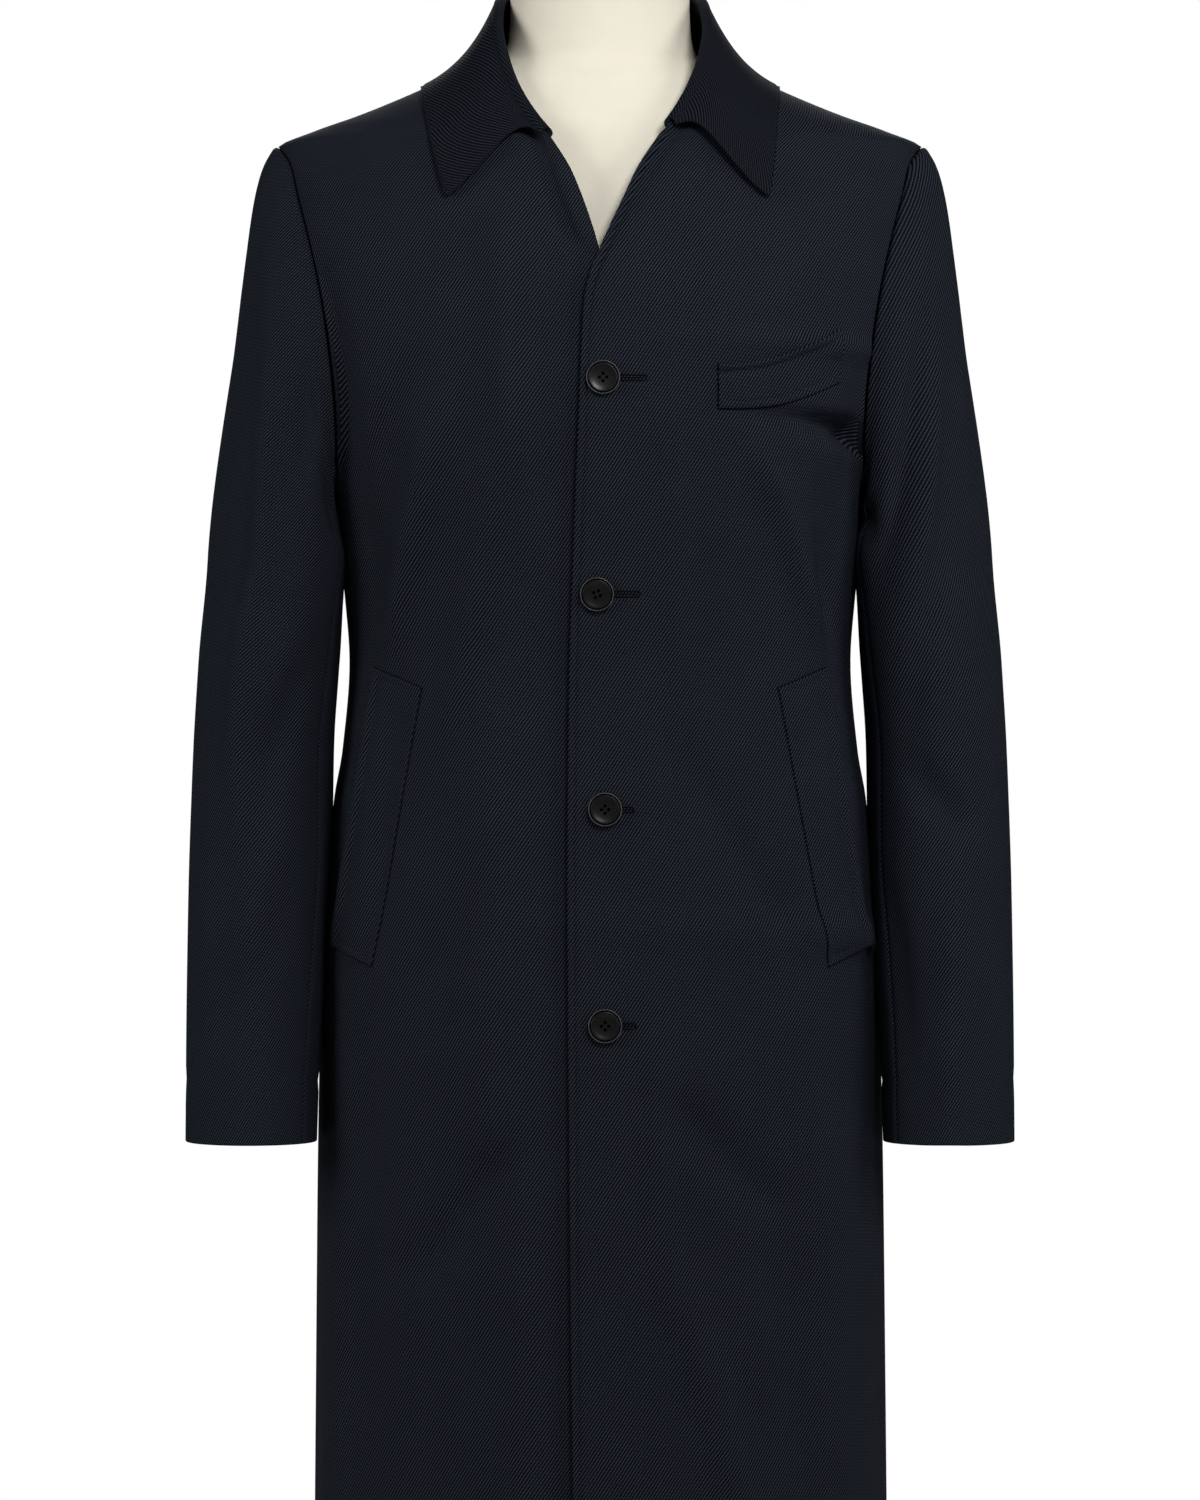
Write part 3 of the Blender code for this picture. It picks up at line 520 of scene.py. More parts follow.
# %% Armhole
SIDE_SEAM, SHOULDER_SEAM, CENTRE_BACK = radians(98), radians(90), pi
ARMHOLE_FRONT, ARMHOLE_BACK, ARMHOLE_SCOOP = radians(32), radians(33), 0.25
Guide = namedtuple("Guide", "z front_deg back_deg")
GUIDE = (
    Guide(1.000, 98.0, 98.0),
    Guide(1.120, 94.0, 101.0),
    Guide(1.180, 86.0, 108.0),
    Guide(1.207, 81.0, 112.5),
    Guide(1.2232, 73.0, 118.5),
    Guide(1.2675, 63.0, 123.5),
    Guide(1.328, 58.5, 123.0),
    Guide(1.3885, 60.6, 120.3),
    Guide(1.4328, 68.9, 111.8),
    Guide(1.449, 80.0, 100.0),
    Guide(1.460, 90.0, 90.0),
)
guide_front = smooth_column(GUIDE, "z", "front_deg")
guide_back = smooth_column(GUIDE, "z", "back_deg")
MIDDLE_COLUMNS = 44
ARMHOLE_TURNS_DEG = np.concatenate([
    [0, 0.6, 1.2, 2, 3, 4.2], np.arange(6, 175, 5), [176, 177.2, 178.2, 179, 179.6, 180],
])
PATH_SAMPLES = 240


def armhole(turn):
    """(angle, height) on the armhole: turn 0 is the shoulder tip, then front, underarm and back."""
    middle = (SHOULDER_TIP_Z + UNDERARM_Z) / 2
    z = middle + (SHOULDER_TIP_Z - UNDERARM_Z) / 2 * np.cos(turn)
    underarm = ease(-np.cos(turn), 0.0, 1.0)
    width = np.abs(np.sin(turn)) ** (0.60 - 0.10 * underarm)
    ends = SHOULDER_SEAM + (SIDE_SEAM - SHOULDER_SEAM) * underarm
    reach = np.where(np.sin(turn) >= 0, -ARMHOLE_FRONT * (1 + ARMHOLE_SCOOP * underarm), ARMHOLE_BACK)
    return ends + reach * width, z


def armhole_edge(z, back):
    """The angle of the side seam, armhole or shoulder seam at height z."""
    middle = (SHOULDER_TIP_Z + UNDERARM_Z) / 2
    turn = np.arccos(np.clip((z - middle) / (SHOULDER_TIP_Z - middle), -1, 1))
    angle = armhole(-turn if back else turn)[0]
    return np.where(z <= UNDERARM_Z, SIDE_SEAM, np.where(z >= SHOULDER_TIP_Z, SHOULDER_SEAM, angle))


armhole_line = coat.point(*armhole(np.linspace(0, 2 * pi, 200)))
print("armhole round, m:", round(float(lengths(armhole_line, 0)[-1]), 3))


# %% Panel rows and columns
def seam_shift(angle, z):
    """How far a sewn edge runs past its seam line, as an angle at this place on the body."""
    across = coat.point(angle + 1e-3, z) - coat.point(angle - 1e-3, z)
    return SEAM_MEET / (np.linalg.norm(across, axis=-1) / 2e-3)


def panel_heights(top_z):
    """Heights of a panel's rows: close at the hem, round the armhole and on the shoulder's slope."""
    rows = np.concatenate([
        HEM_Z + np.array(EDGE_STEPS),
        np.arange(HEM_Z + 0.020, SHOULDER_TIP_Z, 0.008),
        armhole(np.radians(ARMHOLE_TURNS_DEG))[1],
        np.arange(SHOULDER_TIP_Z, top_z, 0.0022),
        [top_z],
    ])
    rows = np.unique(np.round(rows, 6))
    return rows[np.concatenate([[True], np.diff(rows) > 1e-4])]


def panel_angles(inner, outer, guide, z):
    """Angles of a panel's grid, a row for each height, and each point's distance from the inner edge."""
    t = np.linspace(0, 1, PATH_SAMPLES)
    path = inner[:, None] + t * ((guide - inner)[:, None] + (outer - guide)[:, None] * t ** 4)
    run = lengths(coat.point(path, z[:, None]), 1)
    whole = run[:, -1]
    scale = np.minimum(1, whole / (3 * (EDGE_STEPS[-1] + SEAM_STEPS[-1])))
    angle, distance = [], []
    for row in range(len(z)):
        first = np.interp(np.array(EDGE_STEPS) * scale[row], run[row], t)
        last = np.interp(whole[row] - np.array(SEAM_STEPS[::-1]) * scale[row], run[row], t)
        between = np.linspace(first[-1], last[0], MIDDLE_COLUMNS + 2)[1:-1]
        share = np.concatenate([first, between, last])
        angle.append(np.interp(share, t, path[row]))
        distance.append(np.interp(share, t, run[row]))
    return np.array(angle), np.array(distance)


print("rows of a front:", len(panel_heights(NECK_SIDE_Z)))

# %% Panel relief
SEAM_DIP, SEAM_WIDTH = 0.0012, 0.0014
CREASE_FADE = 0.006     # creases die away this near a seam
EDGE_RISE = 0.0016      # the lapping edge is two layers thick, so it stands up a little
EDGE_RISE_FROM, EDGE_RISE_TO = 0.005, 0.020
STITCH_PULL, STITCH_INSET, STITCH_GROOVE = 0.0011, 0.0050, 0.0011
SOFT_PULL = STITCH_PULL * 0.8           # at hems and along the collar
HEM_DEPTH, HEM_GROOVE = 0.040, 0.0040


def panel(name, side, angle, distance, z, sink, start, stitched):
    """A body panel as a shell; where it is stitched, its inner edge has a line of stitches up to the neck."""
    z = np.broadcast_to(z[:, None], angle.shape)
    to_seam = distance[:, -1:] - distance
    relief = crease_depth(angle * side, z) * ease(np.abs(to_seam), 0.0, CREASE_FADE)
    relief = relief - SEAM_DIP * bump(to_seam, SEAM_WIDTH)
    if stitched:
        relief = relief + EDGE_RISE * (1 - ease(distance, EDGE_RISE_FROM, EDGE_RISE_TO))
        pulled = 1 - ease(z, NECK_FRONT_Z - 0.006, NECK_FRONT_Z)
        relief = relief - STITCH_PULL * pulled * bump(distance - STITCH_INSET, STITCH_GROOVE)
    relief = relief - SOFT_PULL * bump(z - HEM_Z - HEM_DEPTH, HEM_GROOVE)
    middle = coat.off(angle * side, z, relief - sink - CLOTH / 2)
    normal = coat.normal(angle * side, z)
    up = lengths(middle, 0)[:, angle.shape[1] // 3]
    flat = np.stack([start + distance * side, np.broadcast_to(up[:, None], angle.shape)], axis=-1)
    grids[name] = middle, normal
    outwards = side * np.cos(angle[0, 0]) > 0
    keep(shell(name, middle, normal, flat, BODY_TWILL, outwards), name)


print("hem, m deep:", HEM_DEPTH)

# %% [markdown]
# ## Fronts
# The left front laps over the right. Its edge runs up to the buttoned line and then opens into a small V.
# In a real coat the right front lies just beneath, so it is sunk by one thickness of cloth near the
# centre and comes up again in the V. There the edges stand up as narrow bands, with the cloth pressed
# down beside them. The bands could be strips of their own, but on the coat they are the same cloth, so
# the fronts step up at their edges.

# %% Front edges
NECK_SIDE_CURVE = 3.0
LAP_NEAR, LAP_FAR = 0.030, 0.060        # the right front is sunk up to here, and not past here
LAP_DIP, LAP_DIP_WIDTH = 0.0010, 0.008  # the under layer is pressed down along the lapping edge
V_FREE_Z = 1.420                        # from here up the right front isn't sunk
Edge = namedtuple("Edge", "z left right")
FRONT_EDGE = (
    Edge(0.450, -0.0165, 0.0185),
    Edge(0.750, -0.0200, 0.0185),
    Edge(0.950, -0.0215, 0.0185),
    Edge(1.080, -0.0205, 0.0185),
    Edge(1.180, -0.0172, 0.0180),
    Edge(1.250, -0.0145, 0.0165),
    Edge(1.304, -0.0124, 0.0105),
    Edge(1.335, -0.0106, 0.0065),
    Edge(1.3536, -0.0069, 0.0038),
    Edge(1.3689, -0.0009, 0.0002),
    Edge(1.3874, 0.0073, -0.0052),
    Edge(1.406, 0.0159, -0.0118),
    Edge(1.4246, 0.0245, -0.0196),
    Edge(1.4465, 0.0385, -0.0331),
)
Facing = namedtuple("Facing", "z width")
FACING = (
    Facing(1.345, 0.0030),
    Facing(1.359, 0.0055),
    Facing(1.3874, 0.0127),
    Facing(1.4128, 0.0132),
    Facing(1.445, 0.0056),
)
FACING_STEP, FACING_SIDE = 0.0032, 0.0011      # the right front's edge is rolled open in the V and stands up
FACING_STITCH = 0.0022                          # its stitches lie this far inside the band's outer side
EDGE_BAND, EDGE_BAND_STEP, EDGE_BAND_SIDE = 0.0044, 0.0022, 0.0008      # the left front's band in the V
BAND_GROOVE = 0.3                               # depth of the stitches' groove, as a share of the step
BESIDE_BAND, BESIDE_WIDTH = 0.0050, 0.0055      # where the cloth beside a band is pressed down
facing_width = smooth_column(FACING, "z", "width")
front_edge_x = {
    1: smooth_column(FRONT_EDGE, "z", "left"),
    -1: smooth_column(FRONT_EDGE, "z", "right"),
}


def neck_front(share, side):
    """(x, height) of one side's neckline from the front edge, share 0, to the shoulder seam, share 1."""
    start = abs(float(front_edge_x[side](NECK_FRONT_Z)))
    end = float(coat.half_width(NECK_SIDE_Z))
    x = start + (end - start) * (1 - (1 - share) ** NECK_SIDE_CURVE)
    return x, NECK_FRONT_Z + (NECK_SIDE_Z - NECK_FRONT_Z) * (1 - (1 - share) ** 2)


def band(distance, width, side_width, stitch_at, stitch_width):
    """The share of a raised band's step at a distance from its edge, with a groove for its stitches."""
    groove = BAND_GROOVE * bump(distance - stitch_at, stitch_width)
    return 1 - ease(distance, width - side_width, width + side_width) - groove


def beside_band(distance, width):
    """1 where the cloth beside a band is pressed down most."""
    return bump(distance - width - BESIDE_BAND, BESIDE_WIDTH)


print("V, m deep:", round(NECK_FRONT_Z - V_CROSS_Z, 3))


# %% Fronts
def make_front(side):
    z = panel_heights(NECK_SIDE_Z - 0.0006)
    inner_x = front_edge_x[side](z) * side
    rise = np.clip((z - NECK_FRONT_Z) / (NECK_SIDE_Z - NECK_FRONT_Z), 0, 1)
    inner_x = np.where(rise > 0, neck_front(1 - np.sqrt(1 - rise), side)[0], inner_x)
    inner = coat.angle_at(inner_x, z)
    outer = armhole_edge(z, back=False)
    outer = outer + seam_shift(outer, z)
    angle, distance = panel_angles(inner, outer, np.radians(guide_front(z)), z)
    sink = np.zeros_like(angle)
    level = z[:, None]
    if side < 0:
        x = coat.point(angle, level)[..., 0]
        under_lap = ease(-x, -LAP_FAR, -LAP_NEAR) * (1 - ease(level, V_CROSS_Z + 0.010, V_FREE_Z))
        sink = (CLOTH + LAP_GAP) * under_lap
        pressed = bump(x + front_edge_x[1](level), LAP_DIP_WIDTH)
        sink = sink + LAP_DIP * pressed * (1 - ease(level, V_CROSS_Z - 0.030, V_CROSS_Z))
        width = facing_width(level)
        rolled = band(distance, width, FACING_SIDE, width - FACING_STITCH, 0.0009)
        rolled = rolled - 1.2 * beside_band(distance, width)
        sink = sink - FACING_STEP * rolled * ease(level, V_CROSS_Z - 0.006, V_CROSS_Z + 0.016)
    else:
        rolled = band(distance, EDGE_BAND, EDGE_BAND_SIDE, EDGE_BAND / 2, 0.0007)
        rolled = rolled - 1.4 * beside_band(distance, EDGE_BAND) * ease(level, V_CROSS_Z - 0.010, 1.430)
        sink = sink - EDGE_BAND_STEP * rolled * ease(level, V_CROSS_Z - 0.050, V_CROSS_Z + 0.010)
    label = "left" if side > 0 else "right"
    start = (inner_x * side)[:, None]
    panel(f"front_{label}", side, angle, distance, z, sink, start, stitched=side > 0)


for side in (1, -1):
    make_front(side)

# %% [markdown]
# ## Back
# The photo doesn't show the back, so it is plain: two halves with a centre seam and a simple vent, where
# the left half laps over the right. One wide piece would be simpler, but a real vent starts at the end of
# a seam.

# %% Back halves
VENT_TOP_Z, VENT_LAP = 0.890, 0.045


def neck_back(share):
    """(angle, height) of the neckline from the shoulder seam, share 0, to centre back, share 1."""
    angle = SHOULDER_SEAM + (CENTRE_BACK - SHOULDER_SEAM) * share
    return angle, NECK_SIDE_Z + (NECK_BACK_Z - NECK_SIDE_Z) * np.sin(share * pi / 2)


def make_back(side):
    z = panel_heights(NECK_BACK_Z - 0.0003)
    outer = armhole_edge(z, back=True)
    rise = np.clip((z - NECK_SIDE_Z) / (NECK_BACK_Z - NECK_SIDE_Z), 0, 1)
    on_neck = z > NECK_SIDE_Z
    outer = np.where(on_neck, neck_back(np.arcsin(rise) / (pi / 2))[0], outer - seam_shift(outer, z))
    lap = VENT_LAP * ease(-z, -VENT_TOP_Z, -VENT_TOP_Z + 0.030) if side < 0 else np.zeros_like(z)
    inner = CENTRE_BACK + seam_shift(CENTRE_BACK, z) + lap / coat.back(z) * 0.72
    guide = np.where(on_neck, outer, np.radians(guide_back(z)))
    angle, distance = panel_angles(inner, outer, guide, z)
    sink = np.zeros_like(angle)
    if side < 0:
        at_centre = ease(angle, CENTRE_BACK - 0.20, CENTRE_BACK - 0.06)
        sink = (CLOTH + LAP_GAP) * at_centre * (1 - ease(z, VENT_TOP_Z, VENT_TOP_Z + 0.05))[:, None]
    sewn = ease(z, VENT_TOP_Z, VENT_TOP_Z + 0.02)[:, None]
    sink = sink + SEAM_DIP * sewn * bump(distance, SEAM_WIDTH)
    label = "left" if side > 0 else "right"
    start = (lap * side)[:, None]
    panel(f"back_{label}", side, angle, -distance, z, sink, start, stitched=False)


for side in (1, -1):
    make_back(side)

# %% [markdown]
# ## Sleeves
# Each sleeve has a wide top piece and a narrow under piece. Lines leave the armhole outwards, bend over
# the sleeve head and end as ovals that lean forward down to the cuff, as a pressed sleeve does. A tube
# bent along a curve would lose the set of the head, so curves from the armhole run into a table of ovals.
# The map for the twill is the arm unrolled about its own line. Towards the shoulder that line moves in,
# because a map about a point under the cloth would make the ribs circle there.

# %% Sleeve surface
SleeveSection = namedtuple("SleeveSection", "z x y half_width half_depth turn_deg")
SLEEVE = (
    SleeveSection(1.165, 0.2200, -0.0040, 0.0405, 0.0700, 28),
    SleeveSection(1.100, 0.2249, -0.0040, 0.0460, 0.0660, 20),
    SleeveSection(1.040, 0.2284, -0.0060, 0.0474, 0.0620, 12),
    SleeveSection(0.970, 0.2298, -0.0140, 0.0483, 0.0585, 8),
    SleeveSection(0.900, 0.2317, -0.0270, 0.0470, 0.0550, 6),
    SleeveSection(0.830, 0.2336, -0.0405, 0.0450, 0.0515, 5),
    SleeveSection(0.7775, 0.2341, -0.0515, 0.0441, 0.0480, 5),
)
SLEEVE_SEAMS_DEG = (140, 220)
SLEEVE_SPREAD = radians(30)
sleeve_at = {name: smooth_column(SLEEVE, "z", name) for name in SleeveSection._fields[1:]}


def sleeve_ring(turn, z):
    """A point on the sleeve below the armhole; turn 0 is outside, then front, inside and back."""
    twist = np.radians(sleeve_at["turn_deg"](z))
    out = sleeve_at["half_width"](z) * np.cos(turn)
    ahead = sleeve_at["half_depth"](z) * np.sin(turn)
    x = sleeve_at["x"](z) + out * np.cos(twist) - ahead * np.sin(twist)
    y = sleeve_at["y"](z) - ahead * np.cos(twist) - out * np.sin(twist)
    return np.stack(np.broadcast_arrays(x, y, z), axis=-1)


def ring_turn(turn, run):
    """Where a line that starts at this turn on the armhole lies round the arm, further down the sleeve."""
    return turn - SLEEVE_SPREAD * np.sin(turn) * (1 - ease(run, 1.0, 1.6))


print("sleeve sections:", len(SLEEVE))

# %% Sleeve head
UP = np.array([0.0, 0.0, 1.0])
LEAVE_TOP = np.array([0.90, 0.0, -0.43])        # ways in which the sleeve leaves the armhole
LEAVE_UNDER = np.array([0.20, 0.0, -0.98])
LEAVE_FRONT = np.array([0.0, -0.30, 0.0])
HEAD_LEAN = np.array([-0.07, 0.0, 0.0])         # the head leans in a little as it turns down


def sleeve_cap(turn, run):
    """A point on the sleeve head: curves that leave the armhole outwards and turn down into the arm."""
    angle, z = armhole(turn)
    high = ((1 + np.cos(turn)) / 2)[..., None]
    leave = high * LEAVE_TOP + (1 - high) * LEAVE_UNDER
    leave = unit(leave + np.sin(turn)[..., None] * LEAVE_FRONT)
    start = coat.point(angle, z) - leave * SEAM_MEET
    end = sleeve_ring(ring_turn(turn, 1.0), np.full(np.shape(turn), SLEEVE[0].z))
    upwards = unit(UP + high * HEAD_LEAN)
    near_start = start + leave * (0.012 + 0.011 * high + 0.012 * np.abs(np.sin(turn))[..., None])
    near_end = end + upwards * (0.020 + 0.180 * high)
    return bezier(start, near_start, near_end, end, np.asarray(run)[..., None])


def bezier(start, near_start, near_end, end, u):
    """Points on a cubic Bezier curve."""
    v = 1 - u
    return start * v ** 3 + near_start * 3 * u * v ** 2 + near_end * 3 * u * u * v + end * u ** 3


def sleeve_point(turn, run):
    """A point on the left sleeve; run is 0 at the armhole, 1 below the head and 2 at the cuff."""
    turn, run = np.broadcast_arrays(np.asarray(turn, float), np.asarray(run, float))
    drop = SLEEVE[0].z + (SLEEVE[-1].z - SLEEVE[0].z) * np.clip(run - 1, 0, 1)
    cap = sleeve_cap(turn, np.clip(run, 0, 1))
    return np.where((run <= 1)[..., None], cap, sleeve_ring(ring_turn(turn, run), drop))


def sleeve_normal(turn, run, step=2e-3):
    round_arm = sleeve_point(turn + step, run) - sleeve_point(turn - step, run)
    low, high = np.maximum(run - step, 0), np.minimum(run + step, 2)
    return unit(np.cross(round_arm, sleeve_point(turn, high) - sleeve_point(turn, low)))


outer_line = sleeve_point(0.0, np.linspace(0, 2, 200))
print("sleeve, shoulder to cuff, m:", round(float(lengths(outer_line, 0)[-1]), 3))

# %% Sleeve creases
ArmCrease = namedtuple("ArmCrease", "top_deg top_run foot_deg foot_run width depth")
ARM_CREASES = {
    1: (
        ArmCrease(58, 0.35, 128, 1.15, 0.010, -0.0064),
        ArmCrease(46, 0.55, 116, 1.34, 0.010, 0.0058),
        ArmCrease(74, 0.95, 122, 1.36, 0.010, -0.0064),
        ArmCrease(124, 1.32, 50, 1.50, 0.011, -0.0080),
        ArmCrease(70, 1.42, 92, 2.12, 0.013, 0.0072),
        ArmCrease(128, 1.50, 122, 1.95, 0.012, -0.0048),
        ArmCrease(150, 0.50, 116, 1.02, 0.010, -0.0051),
        ArmCrease(-140, 1.18, -80, 1.38, 0.010, -0.0054),
        ArmCrease(-150, 1.32, -84, 1.52, 0.010, -0.0058),
    ),
    -1: (
        ArmCrease(62, 0.28, 72, 1.80, 0.013, 0.0067),
        ArmCrease(100, 0.22, 98, 0.85, 0.011, -0.0054),
        ArmCrease(130, 0.35, 136, 0.95, 0.012, -0.0058),
        ArmCrease(130, 1.10, 84, 1.44, 0.012, -0.0054),
        ArmCrease(112, 1.36, 66, 1.76, 0.014, 0.0042),
        ArmCrease(56, 1.42, 66, 1.92, 0.012, -0.0032),
        ArmCrease(-136, 1.22, -78, 1.40, 0.011, -0.0054),
        ArmCrease(-152, 1.36, -90, 1.54, 0.010, -0.0051),
    ),
}
ARM_RADIUS, ARM_REACH = 0.055, 0.37     # these turn a turn and a run into distances


def arm_crease(turn, run, side):
    """How far a sleeve's cloth stands out because of its creases."""
    depth = np.zeros(turn.shape)
    for crease in ARM_CREASES[side]:
        top = np.array([radians(crease.top_deg) * ARM_RADIUS, crease.top_run * ARM_REACH])
        line = np.array([radians(crease.foot_deg) * ARM_RADIUS, crease.foot_run * ARM_REACH]) - top
        length = np.linalg.norm(line)
        middle = radians(crease.top_deg + crease.foot_deg) / 2
        near = (turn - middle + pi) % (2 * pi) - pi + middle
        x, y = near * ARM_RADIUS - top[0], run * ARM_REACH - top[1]
        t = (x * line[0] + y * line[1]) / length ** 2
        away = (x * line[1] - y * line[0]) / length
        depth = depth + crease.depth * bump(away, crease.width) * ease(t, 0.0, 0.4) * ease(1 - t, 0.0, 0.4)
    return depth


print("creases on the sleeves:", len(ARM_CREASES[1]) + len(ARM_CREASES[-1]))

# %% Sleeve map
ARM_MAP_Z = 1.100                       # distances round the arm are those of the sleeve at this height
CAP_MAP_Z = 1.040                       # from here up the map's line moves in, so its distances grow
CAP_AXIS_IN, CAP_WIDER = 0.065, 0.4


def arm_turn(points, middle):
    """The turn of points about the arm's own line, seen from above, within half a turn of the middle one."""
    z = points[..., 2]
    across = points[..., 0] - sleeve_at["x"](z) + CAP_AXIS_IN * ease(z, CAP_MAP_Z, SHOULDER_TIP_Z)
    away = np.arctan2(sleeve_at["y"](z) - points[..., 1], across) - middle
    return middle + (away + pi) % (2 * pi) - pi


map_ring = sleeve_ring(np.radians(np.arange(-180, 361, 3)), np.array(ARM_MAP_Z))
RING_TURNS, RING_LENGTHS = np.unwrap(arm_turn(map_ring, 0.0)), lengths(map_ring, 0)
RING_FRONT = np.interp(pi / 2, RING_TURNS, RING_LENGTHS)


def arm_flat(points, side, middle):
    """A map of flat cloth: distances round a left sleeve and heights, turned over for a right one."""
    around = np.interp(arm_turn(points, middle), RING_TURNS, RING_LENGTHS)
    wider = 1 + CAP_WIDER * ease(points[..., 2], CAP_MAP_Z, SHOULDER_TIP_Z)
    return np.stack([side * (RING_FRONT - around) * wider, points[..., 2]], axis=-1)


print("points on the map's ring:", len(RING_TURNS))

# %% Sleeve pieces
SLEEVE_ROWS = 84
CUFF_HEM = 0.040
SLEEVE_RIDGE = 0.0009       # the seam's allowances are pressed under the sleeve and lift its edge
RIDGE_AT, RIDGE_WIDTH = 0.0035, 0.0030
ARM_CREASE_FADE = 0.020     # the sleeve's creases die away this near the armhole
TURN_ROOM = 0.02            # least turn, in radians, between an edge column and the next


def sleeve_runs(turns):
    """Runs down each line of a sleeve, close at the armhole and at the cuff, a column for each turn."""
    path = np.concatenate([np.linspace(0, 1, 200), np.linspace(1, 2, 200)[1:]])
    columns = []
    for turn in turns:
        down = lengths(sleeve_point(turn, path), 0)
        first = np.interp(np.array(SEAM_STEPS), down, path)
        last = np.interp(down[-1] - np.array(EDGE_STEPS[::-1]), down, path)
        between = np.linspace(first[-1], last[0], SLEEVE_ROWS + 2)[1:-1]
        columns.append(np.concatenate([first, between, last]))
    return np.array(columns).T


def sleeve_turns(start_deg, end_deg):
    """Turns of a piece's columns from seam to seam, in step with the armhole's rows between its edges."""
    half = ARMHOLE_TURNS_DEG
    turns = np.radians(np.concatenate([-half[:0:-1], half, 360 - half[-2::-1]]))
    edge = (np.array(SEAM_STEPS) - SEAM_MEET) / ARM_RADIUS
    first, last = radians(start_deg) + edge, radians(end_deg) - edge[::-1]
    between = turns[(turns > first[-1] + TURN_ROOM) & (turns < last[0] - TURN_ROOM)]
    return np.concatenate([first, between, last])


def make_sleeve(side, name, start_deg, end_deg):
    turns = sleeve_turns(start_deg, end_deg)
    run = sleeve_runs(turns)
    turn = np.broadcast_to(turns, run.shape)
    face, normal = sleeve_point(turn, run), sleeve_normal(turn, run)
    down = lengths(face, 0)
    to_seam = np.minimum(turn - radians(start_deg), radians(end_deg) - turn) * ARM_RADIUS
    relief = arm_crease(turn, run, side) * ease(down, 0.0, ARM_CREASE_FADE)
    relief = relief + SLEEVE_RIDGE * bump(down - RIDGE_AT, RIDGE_WIDTH)
    relief = relief - SEAM_DIP * (bump(down, SEAM_WIDTH) + bump(to_seam, SEAM_WIDTH))
    relief = relief - SOFT_PULL * bump(down[-1:] - down - CUFF_HEM, HEM_GROOVE)
    mirror = np.array([side, 1, 1])
    middle = (face + normal * (relief - CLOTH / 2)[..., None]) * mirror
    flat = arm_flat(face, side, radians(start_deg + end_deg) / 2)
    grids[name] = middle, normal * mirror
    keep(shell(name, middle, normal * mirror, flat, SLEEVE_TWILL, side > 0), name)


for side, label in ((1, "left"), (-1, "right")):
    make_sleeve(side, f"sleeve_top_{label}", SLEEVE_SEAMS_DEG[1] - 360, SLEEVE_SEAMS_DEG[0])
    make_sleeve(side, f"sleeve_under_{label}", *SLEEVE_SEAMS_DEG)

# %% [markdown]
# ## Armhole allowances
# Inside a coat the edges of sleeve and body are sewn together and lie as a firm roll round the armhole.
# It is hidden, but without it daylight would show through the seam. The edges could be folded in on both
# pieces, but a bevelled curve under the seam line closes it with far fewer faces.

# %% Armhole allowances
ALLOWANCE_RADIUS, ALLOWANCE_DEPTH = 0.0022, 0.0034


def armhole_roll(side, label):
    turns = np.radians(np.concatenate([ARMHOLE_TURNS_DEG[:-1], 360 - ARMHOLE_TURNS_DEG[:0:-1]]))
    angle, z = armhole(turns)
    points = coat.off(angle * side, z, np.full(len(turns), -ALLOWANCE_DEPTH))
    curve = bpy.data.curves.new(f"armhole_roll_{label}", "CURVE")
    curve.dimensions = "3D"
    curve.bevel_depth = ALLOWANCE_RADIUS
    curve.bevel_resolution = 2
    line = curve.splines.new("POLY")
    line.points.add(len(points) - 1)
    line.points.foreach_set("co", np.column_stack([points, np.ones(len(points))]).ravel())
    line.use_cyclic_u = True
    source = bpy.data.objects.new(f"armhole_roll_{label}_line", curve)
    bpy.context.scene.collection.objects.link(source)
    view = bpy.context.evaluated_depsgraph_get()
    data = bpy.data.meshes.new_from_object(source.evaluated_get(view))
    bpy.data.objects.remove(source)
    data.materials.append(BODY_TWILL)
    obj = bpy.data.objects.new(f"armhole_roll_{label}", data)
    bpy.context.scene.collection.objects.link(obj)
    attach(obj, BODY_NAME)
    print(obj.name, "faces:", len(data.polygons))


for side, label in ((1, "left"), (-1, "right")):
    armhole_roll(side, label)

# %% [markdown]
# ## Collar
# The collar stands up from the neckline, turns over a soft fold and falls on the shoulders. Its front
# edges are scooped and its tips are blunt. A flat strip could be bent round the neck, but the sections of
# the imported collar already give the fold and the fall, so they are sampled finely and only the front ends
# are cut to their curve.

# %% Collar sections
CollarShape = namedtuple("CollarShape", "share height lift lean steep clear")
COLLAR = (
    CollarShape(0.00, 0.0022, 0.0045, 0.0000, 0.00, 0.0030),
    CollarShape(0.06, 0.0052, 0.0040, 0.0020, 0.12, 0.0026),
    CollarShape(0.25, 0.0230, 0.0020, 0.0085, 0.55, 0.0012),
    CollarShape(0.50, 0.0425, 0.0000, 0.0100, 1.00, 0.0004),
    CollarShape(0.75, 0.0440, 0.0000, 0.0070, 1.00, 0.0006),
    CollarShape(1.00, 0.0430, 0.0000, 0.0065, 1.00, 0.0008),
)
Corner = namedtuple("Corner", "x z")
COLLAR_TIP = {1: Corner(0.1120, 1.4045), -1: Corner(0.1010, 1.4045)}
COLLAR_SHOULDER_Z, COLLAR_BACK_Z = 1.4885, 1.498
COLLAR_FOLD_RADIUS = 0.0040
COLLAR_FRONT_DROP = 0.0055      # the seam runs down behind the fronts at the collar's ends
COLLAR_LEAN_LESS = {1: 0.0050, -1: 0.0}     # the wearer's left half stands further from the neck
COLLAR_ROLL = 0.14      # how far the front of the fall bows out, as a share of its length
collar_at = {name: smooth_column(COLLAR, "share", name) for name in CollarShape._fields[1:]}
STAND_STEPS = (0.0, 0.006, 0.02, 0.05, 0.12, 0.25, 0.45, 0.70)   # shares of the stand, from its seam
